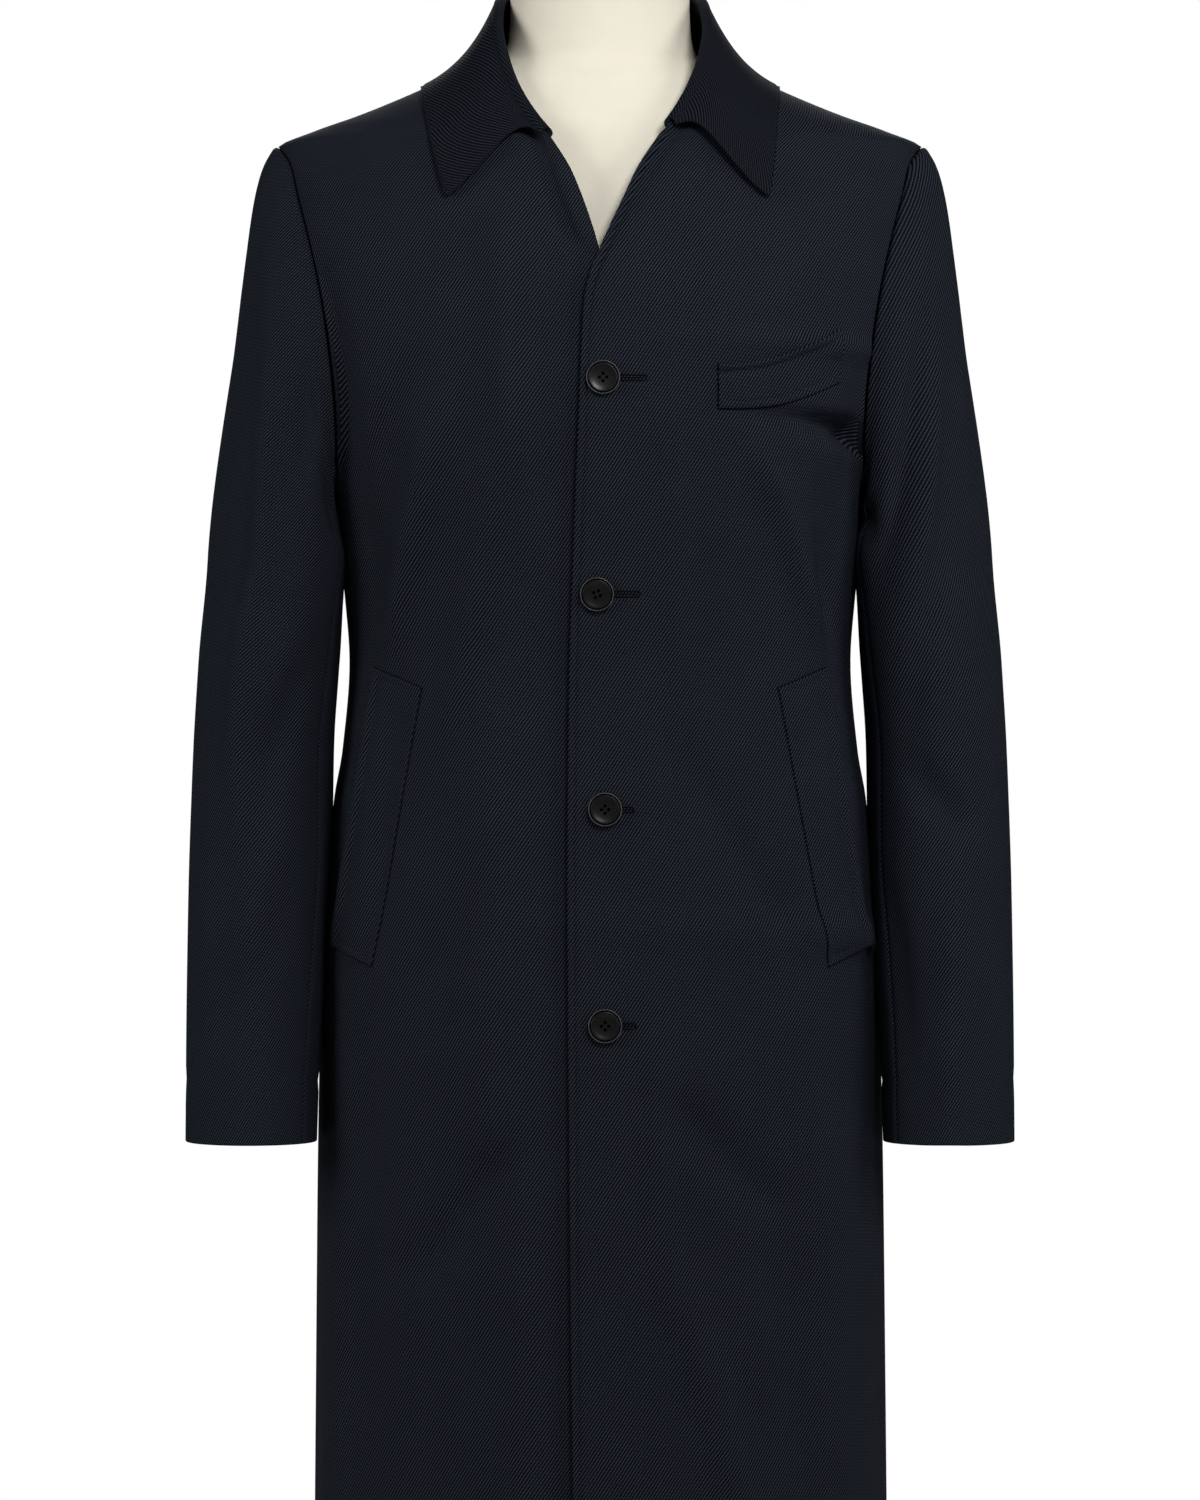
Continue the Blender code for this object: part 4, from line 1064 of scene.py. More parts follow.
FOLD_DEG = np.arange(0, 180, 12)
FALL_COLUMNS = 20


def collar_lines(share, side):
    """Neckline point, the fold's lift off it, outer edge point and the body's normal there."""
    if share <= 0.5:
        x, z = neck_front(share * 2, side)
        angle = coat.angle_at(x, z)
        tip = COLLAR_TIP[side]
        rise = 1 - (1 - share * 2) ** 2
        edge_z = tip.z + (COLLAR_SHOULDER_Z - tip.z) * rise
        shoulder_x = float(coat.half_width(COLLAR_SHOULDER_Z))
        edge_angle = coat.angle_at(tip.x + (shoulder_x - tip.x) * rise ** 0.8, edge_z)
    else:
        angle, z = neck_back(share * 2 - 1)
        edge_angle = SHOULDER_SEAM + (CENTRE_BACK - SHOULDER_SEAM) * (share * 2 - 1)
        edge_z = COLLAR_SHOULDER_Z + (COLLAR_BACK_Z - COLLAR_SHOULDER_Z) * (share * 2 - 1)
    lift = coat.normal(angle, z) * collar_at["lift"](share)
    edge = coat.off(edge_angle, edge_z, CLOTH + collar_at["clear"](share))
    return coat.point(angle, z), lift, edge, coat.normal(edge_angle, edge_z)


print("collar sections:", len(COLLAR))


# %% Collar fold and fall
def collar_section(share, side):
    """The collar's face from the neckline up the stand, over the fold and down the fall to its edge."""
    neck, lift, edge, normal = collar_lines(share, side)
    inwards = unit(np.array([-neck[0], -neck[1], 0.0]))
    less = COLLAR_LEAN_LESS[side] * bump(share - 0.22, 0.22)
    fold = neck + lift + inwards * (collar_at["lean"](share) - less) + UP * collar_at["height"](share)
    steep = collar_at["steep"](share)
    outwards = unit((edge - fold) * np.array([1.0, 1.0, 0.0]))
    outwards = unit(outwards * (1 - steep) - inwards * steep)
    centre = fold - UP * COLLAR_FOLD_RADIUS
    foot = neck + inwards * CLOTH + UP * (SEAM - COLLAR_FRONT_DROP * (1 - steep))
    turn = np.radians(FOLD_DEG)[:, None]
    over = centre + COLLAR_FOLD_RADIUS * (np.sin(turn) * UP - np.cos(turn) * outwards)
    stand = foot + np.array(STAND_STEPS)[:, None] * (over[0] - foot)
    top = centre + COLLAR_FOLD_RADIUS * outwards
    length = np.linalg.norm(edge - top)
    straight = (edge - top) / length
    resting = unit(straight - normal * np.dot(straight, normal))
    leave = unit(straight * (1 - steep) + unit(outwards * 0.40 - UP * 0.90) * steep)
    near_start = top + leave * length * 0.35 + normal * length * COLLAR_ROLL * (1 - steep)
    near_end = edge - resting * length * 0.38
    u = np.linspace(0, 1, 80)
    down = lengths(bezier(top, near_start, near_end, edge, u[:, None]), 0)
    last = down[-1] - np.array(EDGE_STEPS[::-1])
    places = np.concatenate([np.linspace(0, last[0], FALL_COLUMNS)[:-1], last])
    fall = bezier(top, near_start, near_end, edge, np.interp(places, down, u)[:, None])
    return np.concatenate([stand, over, fall])


print("collar at centre back, m high:", round(float(collar_at["height"](1.0)), 3))

# %% Collar
COLLAR_SCOOP = {1: 0.052, -1: 0.037}    # how far the front edges are cut back near the fold, as a share
COLLAR_SET_BACK = {1: 0.030, -1: 0.006}     # where the collar's ends start on the neckline, as a share
COLLAR_TIP_RADIUS = 0.0032
COLLAR_SHARE_LENGTH = 0.33  # length of edge for each unit of share near the front ends
COLLAR_INSET_INDEX = 4      # the line of stitches lies this many edge steps from the edge
COLLAR_GROOVE = 0.0009
FALL_FROM, FALL_TO = 0.035, 0.050       # distances up from the neckline where the front ends' stitches begin


def collar_half(side):
    """One half of the collar's face, a row for each place from its front end to centre back."""
    table_share = np.linspace(0, 1, 121)
    table = np.array([collar_section(share, side) for share in table_share])
    fall = lengths(table[0, len(STAND_STEPS) + len(FOLD_DEG):], 0)
    to_edge = fall[-1] - fall
    inset = np.clip(COLLAR_TIP_RADIUS - to_edge, 0, COLLAR_TIP_RADIUS)
    blunt = COLLAR_TIP_RADIUS - np.sqrt(COLLAR_TIP_RADIUS ** 2 - inset ** 2)
    cut = np.full(table.shape[1], COLLAR_SET_BACK[side])
    w = fall / fall[-1]
    scoop = COLLAR_SCOOP[side] * np.sin(pi * w ** 0.42) * (1 - w ** 3)
    cut[-len(fall):] = np.maximum(COLLAR_SET_BACK[side] * (1 - w) ** 4, scoop) + blunt / COLLAR_SHARE_LENGTH
    edge = np.array(EDGE_STEPS) / COLLAR_SHARE_LENGTH
    rows = np.concatenate([edge, np.linspace(edge[-1], 1, 60)[1:]])
    share = cut + rows[:, None] * (1 - cut)
    columns = [
        [np.interp(share[:, j], table_share, table[:, j, axis]) for axis in range(3)]
        for j in range(table.shape[1])
    ]
    return np.array(columns).transpose(2, 0, 1)


def make_collar():
    mirrored = collar_half(-1)[::-1] * np.array([-1, 1, 1])
    face = np.concatenate([collar_half(1), mirrored[1:]])
    normal = unit(np.cross(np.gradient(face, axis=1), np.gradient(face, axis=0)))
    across, along = lengths(face, 1), lengths(face[:, [-1]], 0)
    inset = EDGE_STEPS[COLLAR_INSET_INDEX]
    ends = np.minimum(lengths(face, 0), lengths(face[::-1], 0)[::-1])
    along_edge = bump(across[:, -1:] - across - inset, COLLAR_GROOVE)
    along_ends = bump(ends - inset, COLLAR_GROOVE) * ease(across, FALL_FROM, FALL_TO)
    pull = np.maximum(along_edge, along_ends)
    middle = face - normal * (CLOTH / 2 + SOFT_PULL * pull)[..., None]
    flat = np.stack([np.broadcast_to(along[-1] - along, across.shape), across], axis=-1)
    grids["collar"] = middle, normal
    keep(shell("collar", middle, normal, flat, COLLAR_TWILL), "collar")


make_collar()

# %% [markdown]
# ## Pockets
# A welt is a folded strip that covers a pocket's slit. The chest welt is boat-shaped and sags a little;
# the side welts slant. They could be cut into the fronts, but a real welt is a strip of its own. So they
# are thin shells laid on the fronts, with a map that lets the ribs of their twill run on from the cloth
# below.

# %% Welts
WELT_THICKNESS, WELT_GAP = 0.0016, 0.0010
CHEST_WELT = (Corner(0.0780, 1.2648), Corner(0.1590, 1.2842), Corner(0.1585, 1.3196), Corner(0.0775, 1.2934))
CHEST_WELT_SIZE, SIDE_WELT_SIZE = (0.083, 0.031), (0.034, 0.188)     # width and height
CHEST_WELT_SAG = 0.0065
FREE_EDGE_RISE = 0.0010
WELT_SEWN = 0.0009      # how much lower a sewn edge lies than a free one
SIDE_WELT = (Corner(0.1515, 0.8960), Corner(0.1795, 0.9090), Corner(0.1505, 1.0950), Corner(0.1180, 1.0810))


def flat_front(angle, z):
    """The distance round the body from centre front."""
    t = np.linspace(0, 1, 60)
    path = coat.point(angle[..., None] * t, z[..., None])
    return np.linalg.norm(np.diff(path, axis=-2), axis=-1).sum(axis=-1) * np.sign(angle)


def edge_crowded(length, count):
    """Shares from 0 to 1 that crowd towards both ends as the edge steps do."""
    edge = np.array(EDGE_STEPS[:9]) / length
    return np.concatenate([edge, np.linspace(edge[-1], 1 - edge[-1], count)[1:-1], 1 - edge[::-1]])


def make_welt(name, corners, sag, side, size, free):
    """A strip between four corners seen from in front: low inner, low outer, high outer and high inner.

    Its free edge, "top" or "outer", stands up; the edge opposite is sewn down.
    """
    u, v = np.meshgrid(edge_crowded(size[0], 14), edge_crowded(size[1], 22))

    def blend(axis):
        low_in, low_out, high_out, high_in = (getattr(corner, axis) for corner in corners)
        return (low_in * (1 - u) + low_out * u) * (1 - v) + (high_in * (1 - u) + high_out * u) * v

    z = blend("z") - sag * np.sin(pi * u)
    angle = coat.angle_at(blend("x"), z) * side
    to_edge = np.minimum(np.minimum(u, 1 - u) * size[0], np.minimum(v, 1 - v) * size[1])
    to_free = 1 - v if free == "top" else 1 - u
    off_free = to_free * size[1 if free == "top" else 0]
    relief = crease_depth(angle, z) - STITCH_PULL * 0.5 * bump(to_edge - STITCH_INSET, 0.0010)
    relief = relief + FREE_EDGE_RISE * (bump(off_free - 0.0016, 0.0022) - bump(off_free - 0.0062, 0.0022))
    ends = np.minimum(u, 1 - u) * size[0] if free == "top" else np.minimum(v, 1 - v) * size[1]
    relief = relief - WELT_SEWN * np.maximum(ease(to_free, 0.0, 1.0), 0.6 * (1 - ease(ends, 0.0, 0.010)))
    normal = coat.normal(angle, z)
    middle = coat.off(angle, z, relief + WELT_GAP + WELT_THICKNESS / 2)
    flat = np.stack([flat_front(angle, z), z - HEM_Z], axis=-1)
    grids[name] = middle, normal
    keep(shell(name, middle, normal, flat, BODY_TWILL, side > 0, WELT_THICKNESS), name)


make_welt("chest_welt", CHEST_WELT, CHEST_WELT_SAG, 1, CHEST_WELT_SIZE, "top")
make_welt("pocket_welt_left", SIDE_WELT, 0.0, 1, SIDE_WELT_SIZE, "outer")
make_welt("pocket_welt_right", SIDE_WELT, 0.0, -1, SIDE_WELT_SIZE, "outer")

# %% [markdown]
# ## Stitches
# Fine hand-picked stitches hold the front edge, the collar and the welts, each sunk in a shallow groove.
# They could be painted on with bump, but then they would be missing from the mesh. They repeat along a
# path, so Geometry Nodes lays them: a line is resampled and a small grain of thread is set on each of its
# points, along the line and square to the cloth. The same tree lays the bars of the buttonholes, and
# near-black grains of painted shade beside the welts' sewn edges and in the buttonholes' slits.

# %% Thread
def thread(name, colour, roughness):
    made, tree, shader = new_material(name)
    where = node(tree, "ShaderNodeTexCoord").outputs["Object"]
    fibre = noise(tree, where, 2400.0, 2.0)
    dark = tuple(0.5 * value for value in colour[:3]) + (1.0,)
    tree.links.new(mix_colour(tree, fibre, dark, colour), shader.inputs["Base Color"])
    shader.inputs["Roughness"].default_value = roughness
    shader.inputs["Specular IOR Level"].default_value = 0.06
    raise_surface(tree, shader, fibre, 0.0001, 0.5)
    return made


NAVY_THREAD = thread("navy_thread", (0.020, 0.024, 0.034, 1.0), 0.6)
HOLE_SILK = thread("buttonhole_silk", (0.0050, 0.0056, 0.0075, 1.0), 0.5)
# Not thread: a near-black painted shade, laid as grains in the buttonholes' slits and beside the welts' sewn
# edges.
SLIT_SHADE = thread("painted_shade_grains", (0.0010, 0.0011, 0.0014, 1.0), 0.9)
print("threads:", NAVY_THREAD.name, HOLE_SILK.name, SLIT_SHADE.name)

# %% Stitch tree
def stitch_tree():
    """A node tree that sets grains of thread along a mesh's lines, which carry the cloth's normal as out."""
    tree = bpy.data.node_groups.new("stitches_on_lines", "GeometryNodeTree")
    tree.interface.new_socket("Lines", in_out="INPUT", socket_type="NodeSocketGeometry")
    for name in ("Spacing", "Length", "Width", "Height"):
        tree.interface.new_socket(name, in_out="INPUT", socket_type="NodeSocketFloat")
    tree.interface.new_socket("Thread", in_out="INPUT", socket_type="NodeSocketMaterial")
    tree.interface.new_socket("Stitches", in_out="OUTPUT", socket_type="NodeSocketGeometry")
    given, result = node(tree, "NodeGroupInput"), node(tree, "NodeGroupOutput")
    curve = node(tree, "GeometryNodeMeshToCurve")
    points = node(tree, "GeometryNodeResampleCurve", mode="LENGTH")
    grain = node(tree, "GeometryNodeMeshUVSphere")
    grain.inputs["Segments"].default_value = 8
    grain.inputs["Rings"].default_value = 6
    grain.inputs["Radius"].default_value = 0.5
    size = node(tree, "ShaderNodeCombineXYZ")
    tangent = node(tree, "GeometryNodeInputTangent")
    out = node(tree, "GeometryNodeInputNamedAttribute", data_type="FLOAT_VECTOR")
    out.inputs["Name"].default_value = "out"
    along = node(tree, "FunctionNodeAlignRotationToVector", axis="X")
    upright = node(tree, "FunctionNodeAlignRotationToVector", axis="Z", pivot_axis="X")
    place = node(tree, "GeometryNodeInstanceOnPoints")
    real = node(tree, "GeometryNodeRealizeInstances")
    smooth = node(tree, "GeometryNodeSetShadeSmooth")
    finish = node(tree, "GeometryNodeSetMaterial")
    for source, target in (
        (given.outputs["Lines"], curve.inputs["Mesh"]),
        (curve.outputs["Curve"], points.inputs["Curve"]),
        (given.outputs["Spacing"], points.inputs["Length"]),
        (given.outputs["Length"], size.inputs["X"]),
        (given.outputs["Width"], size.inputs["Y"]),
        (given.outputs["Height"], size.inputs["Z"]),
        (tangent.outputs["Tangent"], along.inputs["Vector"]),
        (along.outputs["Rotation"], upright.inputs["Rotation"]),
        (out.outputs["Attribute"], upright.inputs["Vector"]),
        (points.outputs["Curve"], place.inputs["Points"]),
        (grain.outputs["Mesh"], place.inputs["Instance"]),
        (upright.outputs["Rotation"], place.inputs["Rotation"]),
        (size.outputs["Vector"], place.inputs["Scale"]),
        (place.outputs["Instances"], real.inputs["Geometry"]),
        (real.outputs["Geometry"], smooth.inputs["Geometry"]),
        (smooth.outputs["Geometry"], finish.inputs["Geometry"]),
        (given.outputs["Thread"], finish.inputs["Material"]),
        (finish.outputs["Geometry"], result.inputs["Stitches"]),
    ):
        tree.links.new(source, target)
    return tree


STITCHES = stitch_tree()
print("stitch tree, nodes:", len(STITCHES.nodes))

# %% Sewing
Stitch = namedtuple("Stitch", "spacing length width height")


def sew(name, lines, stitch, thread_finish):
    """Sets stitches along lines, each a pair of point and normal arrays, as one plain mesh."""
    data = bpy.data.meshes.new(name)
    counts = np.cumsum([0] + [len(points) for points, _ in lines])
    edges = [(i, i + 1) for a, b in zip(counts, counts[1:]) for i in range(a, b - 1)]
    data.from_pydata(np.concatenate([points for points, _ in lines]).tolist(), edges, [])
    out = data.attributes.new("out", "FLOAT_VECTOR", "POINT")
    out.data.foreach_set("vector", np.concatenate([normal for _, normal in lines]).astype(np.float32).ravel())
    obj = bpy.data.objects.new(name, data)
    bpy.context.scene.collection.objects.link(obj)
    work = obj.modifiers.new("stitches", "NODES")
    work.node_group = STITCHES
    given = {field.capitalize(): value for field, value in stitch._asdict().items()}
    given["Thread"] = thread_finish
    for item in STITCHES.interface.items_tree:
        if item.name in given:
            work[item.identifier] = given[item.name]
    view = bpy.context.evaluated_depsgraph_get()
    made = bpy.data.meshes.new_from_object(obj.evaluated_get(view))
    obj.modifiers.remove(work)
    obj.data = made
    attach(obj, BODY_NAME)
    print(name, "faces:", len(made.polygons))


# %% Edge stitches
STITCH_LIFT = 0.00010
EDGE_STITCH = Stitch(0.0062, 0.0017, 0.0005, 0.00035)
COLLAR_STITCH = Stitch(0.0062, 0.0016, 0.0005, 0.00035)
WELT_STITCH = Stitch(0.0060, 0.0016, 0.0005, 0.00035)


def stitch_line(name, rows, columns, thickness=CLOTH):
    """A line along the rows and columns of a piece's grid, on its face."""
    middle, normal = (grid[rows, columns] for grid in grids[name])
    return middle + normal * (thickness / 2 + STITCH_LIFT), normal


def between_heights(name, column, low, high):
    """The part of a piece's column between two heights."""
    z = grids[name][0][:, column, 2]
    return stitch_line(name, np.nonzero((z > low) & (z < high))[0], column)


def band_line(low, high):
    """The line of stitches on the right front's band, which changes its width with height."""
    middle, normal = grids["front_right"]
    rows = np.nonzero((middle[:, 0, 2] > low) & (middle[:, 0, 2] < high))[0]
    inset = facing_width(middle[rows, 0, 2]) - FACING_STITCH
    points = [
        [np.interp(d, EDGE_STEPS, middle[row, :len(EDGE_STEPS), axis]) for axis in range(3)]
        for row, d in zip(rows, inset)
    ]
    return np.array(points) + normal[rows, 0] * (CLOTH / 2 + STITCH_LIFT), normal[rows, 0]


FRONT_INSET_INDEX = EDGE_STEPS.index(STITCH_INSET)
sew("front_edge_stitches", [
    between_heights("front_left", FRONT_INSET_INDEX, HEM_Z + 0.004, NECK_FRONT_Z - 0.012),
    band_line(V_CROSS_Z + 0.008, NECK_FRONT_Z - 0.010),
], EDGE_STITCH, NAVY_THREAD)
fall_start = len(STAND_STEPS) + len(FOLD_DEG) + 4
collar_columns = np.arange(fall_start, grids["collar"][0].shape[1] - COLLAR_INSET_INDEX)
collar_rows = np.arange(COLLAR_INSET_INDEX, grids["collar"][0].shape[0] - COLLAR_INSET_INDEX)
sew("collar_stitches", [
    stitch_line("collar", collar_rows, -1 - COLLAR_INSET_INDEX),
    stitch_line("collar", COLLAR_INSET_INDEX, collar_columns),
    stitch_line("collar", -1 - COLLAR_INSET_INDEX, collar_columns),
], COLLAR_STITCH, NAVY_THREAD)
welt_lines = []
for name in ("chest_welt", "pocket_welt_left", "pocket_welt_right"):
    row_count, column_count = grids[name][0].shape[:2]
    rows = np.arange(FRONT_INSET_INDEX, row_count - FRONT_INSET_INDEX)
    columns = np.arange(FRONT_INSET_INDEX, column_count - FRONT_INSET_INDEX)
    for at in (FRONT_INSET_INDEX, -1 - FRONT_INSET_INDEX):
        welt_lines.append(stitch_line(name, rows, at, WELT_THICKNESS))
        welt_lines.append(stitch_line(name, at, columns, WELT_THICKNESS))
sew("welt_stitches", welt_lines, WELT_STITCH, NAVY_THREAD)

# %% Painted shade beside the welts
SHADE_LINE_GRAIN = Stitch(0.0008, 0.0016, 0.0013, 0.0008)


def shade_beside_welt(name, rows, columns):
    """A line of painted shade just outside a welt's sewn edge, down on the front's face."""
    middle, normal = (grid[rows, columns] for grid in grids[name])
    return middle - normal * (WELT_THICKNESS / 4), normal


every = slice(None)
# Near-black grains along the welts' sewn edges: painted shade in the ditch beside each welt.
sew("welt_seam_shade", [
    shade_beside_welt("chest_welt", 0, every), shade_beside_welt("chest_welt", every, 0), shade_beside_welt("chest_welt", every, -1),
    shade_beside_welt("pocket_welt_left", 0, every), shade_beside_welt("pocket_welt_left", -1, every),
    shade_beside_welt("pocket_welt_right", 0, every), shade_beside_welt("pocket_welt_right", -1, every),
], SHADE_LINE_GRAIN, SLIT_SHADE)

# %% [markdown]
# ## Buttonholes
# A tailor's buttonhole is a slit bound with close bars of silk. It runs from under each button towards
# the wearer's left. It could be cut through the front, but at this size only its colour and its bound
# edge show. So the slit is a line of grains painted near-black, as painted shade in the gap, and the
# bars run round it on a narrow loop.

# %% Buttonholes
BUTTON_DIAMETER = 0.0229
BUTTON_X = (0.0020, -0.0020, 0.0033, 0.0033)
BUTTON_TOP_Z, BUTTON_PITCH = 1.2848, 0.1421
BUTTONHOLE_END_X = (0.0290, 0.0245, 0.0205, 0.0220)
BUTTONHOLE_HALF = 0.0018
SLIT_POINTS = 40
SLIT_LIFT, BAR_LIFT = 0.00005, 0.00015
SLIT, SILK_BAR = Stitch(0.0004, 0.0008, 0.0008, 0.0006), Stitch(0.00055, 0.00050, 0.0013, 0.0010)


def on_left_front(x, z, lift):
    """Points and normals on the left front's face, seen from in front."""
    angle = coat.angle_at(x, z)
    return coat.off(angle, z, crease_depth(angle, z) + lift), coat.normal(angle, z)


slits, loops = [], []
for i, (start, end) in enumerate(zip(BUTTON_X, BUTTONHOLE_END_X)):
    height = BUTTON_TOP_Z - i * BUTTON_PITCH
    x = np.linspace(start + BUTTON_DIAMETER * 0.3, end, SLIT_POINTS)
    slits.append(on_left_front(x, np.full(SLIT_POINTS, height), SLIT_LIFT))
    bend = np.linspace(pi / 2, -pi / 2, 9)
    loop_x = np.concatenate([x, end + BUTTONHOLE_HALF * np.cos(bend), x[::-1]])
    above = np.full(SLIT_POINTS, BUTTONHOLE_HALF)
    loop_z = height + np.concatenate([above, BUTTONHOLE_HALF * np.sin(bend), -above])
    loops.append(on_left_front(loop_x, loop_z, BAR_LIFT))
# The slit's grains are near-black: painted shade in the gap of the buttonhole.
sew("buttonhole_slit_shade", slits, SLIT, SLIT_SHADE)
sew("buttonhole_bars", loops, SILK_BAR, HOLE_SILK)

# %% [markdown]
# ## Buttons
# Dark horn buttons have a raised rim, a groove inside it, a dished face and four holes. They could be
# cylinders with bevels, but real ones are turned on a lathe, and so they are here: a profile is spun, and
# four pins are cut out with a Boolean. Two short threads lie across each button and go down into its
# holes, and each one is turned as it was sewn on.

# %% Button finish
def horn():
    made, tree, shader = new_material("dark_horn")
    where = node(tree, "ShaderNodeTexCoord").outputs["Object"]
    cloud = noise(tree, where, 90.0, 4.0)
    colour = mix_colour(tree, cloud, (0.0030, 0.0031, 0.0035, 1.0), (0.0080, 0.0081, 0.0090, 1.0))
    # The top of the rim is painted lighter: a painted highlight, not a lighter horn.
    rim = node(tree, "ShaderNodeAttribute", attribute_name="rim").outputs["Fac"]
    tree.links.new(mix_colour(tree, rim, colour, (0.070, 0.070, 0.074, 1.0)), shader.inputs["Base Color"])
    shader.inputs["Roughness"].default_value = 0.30
    shader.inputs["Specular IOR Level"].default_value = 0.30
    return made


HORN = horn()
print("button finish:", HORN.name)


# %% Turning
def turned(name, profile, steps, finish, place=Matrix.Identity(4)):
    """A solid turned about Z from a profile of (radius, height) pairs, axis to axis, then put in place."""
    mesh = bmesh.new()
    line = [mesh.verts.new((radius, 0, height)) for radius, height in profile]
    edges = [mesh.edges.new(pair) for pair in zip(line, line[1:])]
    bmesh.ops.spin(
        mesh, geom=line + edges, cent=(0, 0, 0), axis=(0, 0, 1), angle=2 * pi, steps=steps, use_merge=True)
    bmesh.ops.remove_doubles(mesh, verts=mesh.verts, dist=1e-6)
    bmesh.ops.recalc_face_normals(mesh, faces=mesh.faces)
    mesh.transform(place)
    data = bpy.data.meshes.new(name)
    mesh.to_mesh(data)
    mesh.free()
    data.materials.append(finish)
    data.shade_smooth()
    obj = bpy.data.objects.new(name, data)
    bpy.context.scene.collection.objects.link(obj)
    return obj


def rounded(profile, rounds):
    """A profile with its corners cut round a few times; its two ends stay."""
    line = np.array(profile, float)
    for _ in range(rounds):
        ahead = line[:-1] * 0.75 + line[1:] * 0.25
        behind = line[:-1] * 0.25 + line[1:] * 0.75
        line = np.concatenate([line[:1], np.stack([ahead, behind], axis=1).reshape(-1, 2), line[-1:]])
    return line.tolist()


print("points on a corner cut round twice:", len(rounded([(0, 0), (1, 0), (1, 1)], 2)))

# %% Button holes, rim and thread
BUTTON_THICKNESS, BUTTON_SIDES = 0.0040, 72
BUTTON_HOLE, BUTTON_HOLE_SPACING = 0.0023, 0.0034
# Shares of the radius and the thickness, from the middle of the face to that of the back
BUTTON_PROFILE = (
    (0.0, 0.62), (0.30, 0.63), (0.55, 0.69), (0.77, 0.84), (0.82, 0.82), (0.87, 0.50), (0.895, 0.54),
    (0.91, 0.88), (0.94, 0.93), (0.975, 0.84), (0.98, 0.42), (0.74, 0.0), (0.0, 0.0),
)
RIM_HIGHLIGHT_AT, RIM_HIGHLIGHT_WIDTH = 0.945, 0.026        # where the painted highlight on top of the rim lies and how wide it is, as shares of the radius
THREAD_DEPTH = 0.45                         # how far a thread goes down a hole, as a share of the thickness
BUTTON_STITCH = Stitch(0.0002, 0.0005, 0.00035, 0.00035)


def cut_holes(button, place):
    """Cuts a button's four thread holes with a Boolean."""
    mesh = bmesh.new()
    for quarter in range(4):
        hole_turn = pi / 4 + quarter * pi / 2
        at = Vector((cos(hole_turn), sin(hole_turn), 0)) * BUTTON_HOLE_SPACING / 2 ** 0.5
        bmesh.ops.create_cone(
            mesh, cap_ends=True, segments=24, radius1=BUTTON_HOLE / 2, radius2=BUTTON_HOLE / 2,
            depth=BUTTON_THICKNESS * 4, matrix=Matrix.Translation(at))
    mesh.transform(place)
    pins = bpy.data.meshes.new("thread_holes")
    mesh.to_mesh(pins)
    mesh.free()
    cutter = bpy.data.objects.new("thread_holes", pins)
    bpy.context.scene.collection.objects.link(cutter)
    cut = button.modifiers.new("thread_holes", "BOOLEAN")
    cut.object = cutter
    view = bpy.context.evaluated_depsgraph_get()
    made = bpy.data.meshes.new_from_object(button.evaluated_get(view))
    button.modifiers.remove(cut)
    button.data = made
    bpy.data.objects.remove(cutter)
    made.set_sharp_from_angle(angle=radians(50))


def mark_rim_highlight(data, place):
    """Stores how near each point of a button lies to the top of its rim, where its finish paints a highlight.
    """
    radius, thick = BUTTON_DIAMETER / 2, BUTTON_THICKNESS
    upright = place.inverted()
    local = np.array([upright @ vertex.co for vertex in data.vertices])
    off_crest = np.hypot(local[:, 0], local[:, 1]) - radius * RIM_HIGHLIGHT_AT
    rim_highlight_share = bump(off_crest, radius * RIM_HIGHLIGHT_WIDTH) * ease(local[:, 2], thick * 0.65, thick * 0.85)
    data.attributes.new("rim", "FLOAT", "POINT").data.foreach_set("value", rim_highlight_share.astype(np.float32))


def thread_lines(place):
    """Two lines from hole to hole, with the way that the button faces as their normal."""
    reach = BUTTON_HOLE_SPACING / 2
    along = np.linspace(-1, 1, 9)
    height = BUTTON_THICKNESS * (BUTTON_PROFILE[0][1] - THREAD_DEPTH * along ** 6)
    lines = []
    for side in (1, -1):
        line = np.stack([reach * along, np.full(len(along), reach * side), height], axis=-1)
        points = np.array([place @ Vector(p) for p in line])
        lines.append((points, np.broadcast_to(np.array(place.col[2][:3]), points.shape)))
    return lines


print("button, m across:", BUTTON_DIAMETER)

# %% Buttons
BUTTON_TURNS = (45, 20, 45, 45)     # degrees by which each button is turned where it is sewn on


def make_button(number, x, z, sewn_turn):
    """Turns one button, seats it on the left front and returns the lines of its thread."""
    radius, thick = BUTTON_DIAMETER / 2, BUTTON_THICKNESS
    angle = coat.angle_at(x, z)
    facing = Vector(coat.normal(angle, z)).to_track_quat("Z", "Y").to_matrix().to_4x4()
    seat = Matrix.Translation(Vector(coat.off(angle, z, SEAM)))
    place = seat @ facing @ Matrix.Rotation(sewn_turn, 4, "Z")
    profile = rounded([(radius * across, thick * up) for across, up in BUTTON_PROFILE], 2)
    button = turned(f"button_{number}_turned", profile, BUTTON_SIDES, HORN, place)
    cut_holes(button, place)
    mark_rim_highlight(button.data, place)
    keep(button, f"button_{number}")
    return thread_lines(place)


thread_bars = []
for i, x in enumerate(BUTTON_X):
    thread_bars += make_button(i + 1, x, BUTTON_TOP_Z - i * BUTTON_PITCH, radians(BUTTON_TURNS[i]))
sew("button_thread", thread_bars, BUTTON_STITCH, HOLE_SILK)

# %% [markdown]
# ## Dress form
# The coat hangs on a padded form covered in cream linen, of which only the neck shows. It is smooth and
# has no limbs. It could be sculpted, but the ovals that made the coat make it too, a little smaller at
# the shoulders, so that the coat rests on it. The linen is a plain weave: two waves at right angles
# across a map in metres, with slubs of noise.

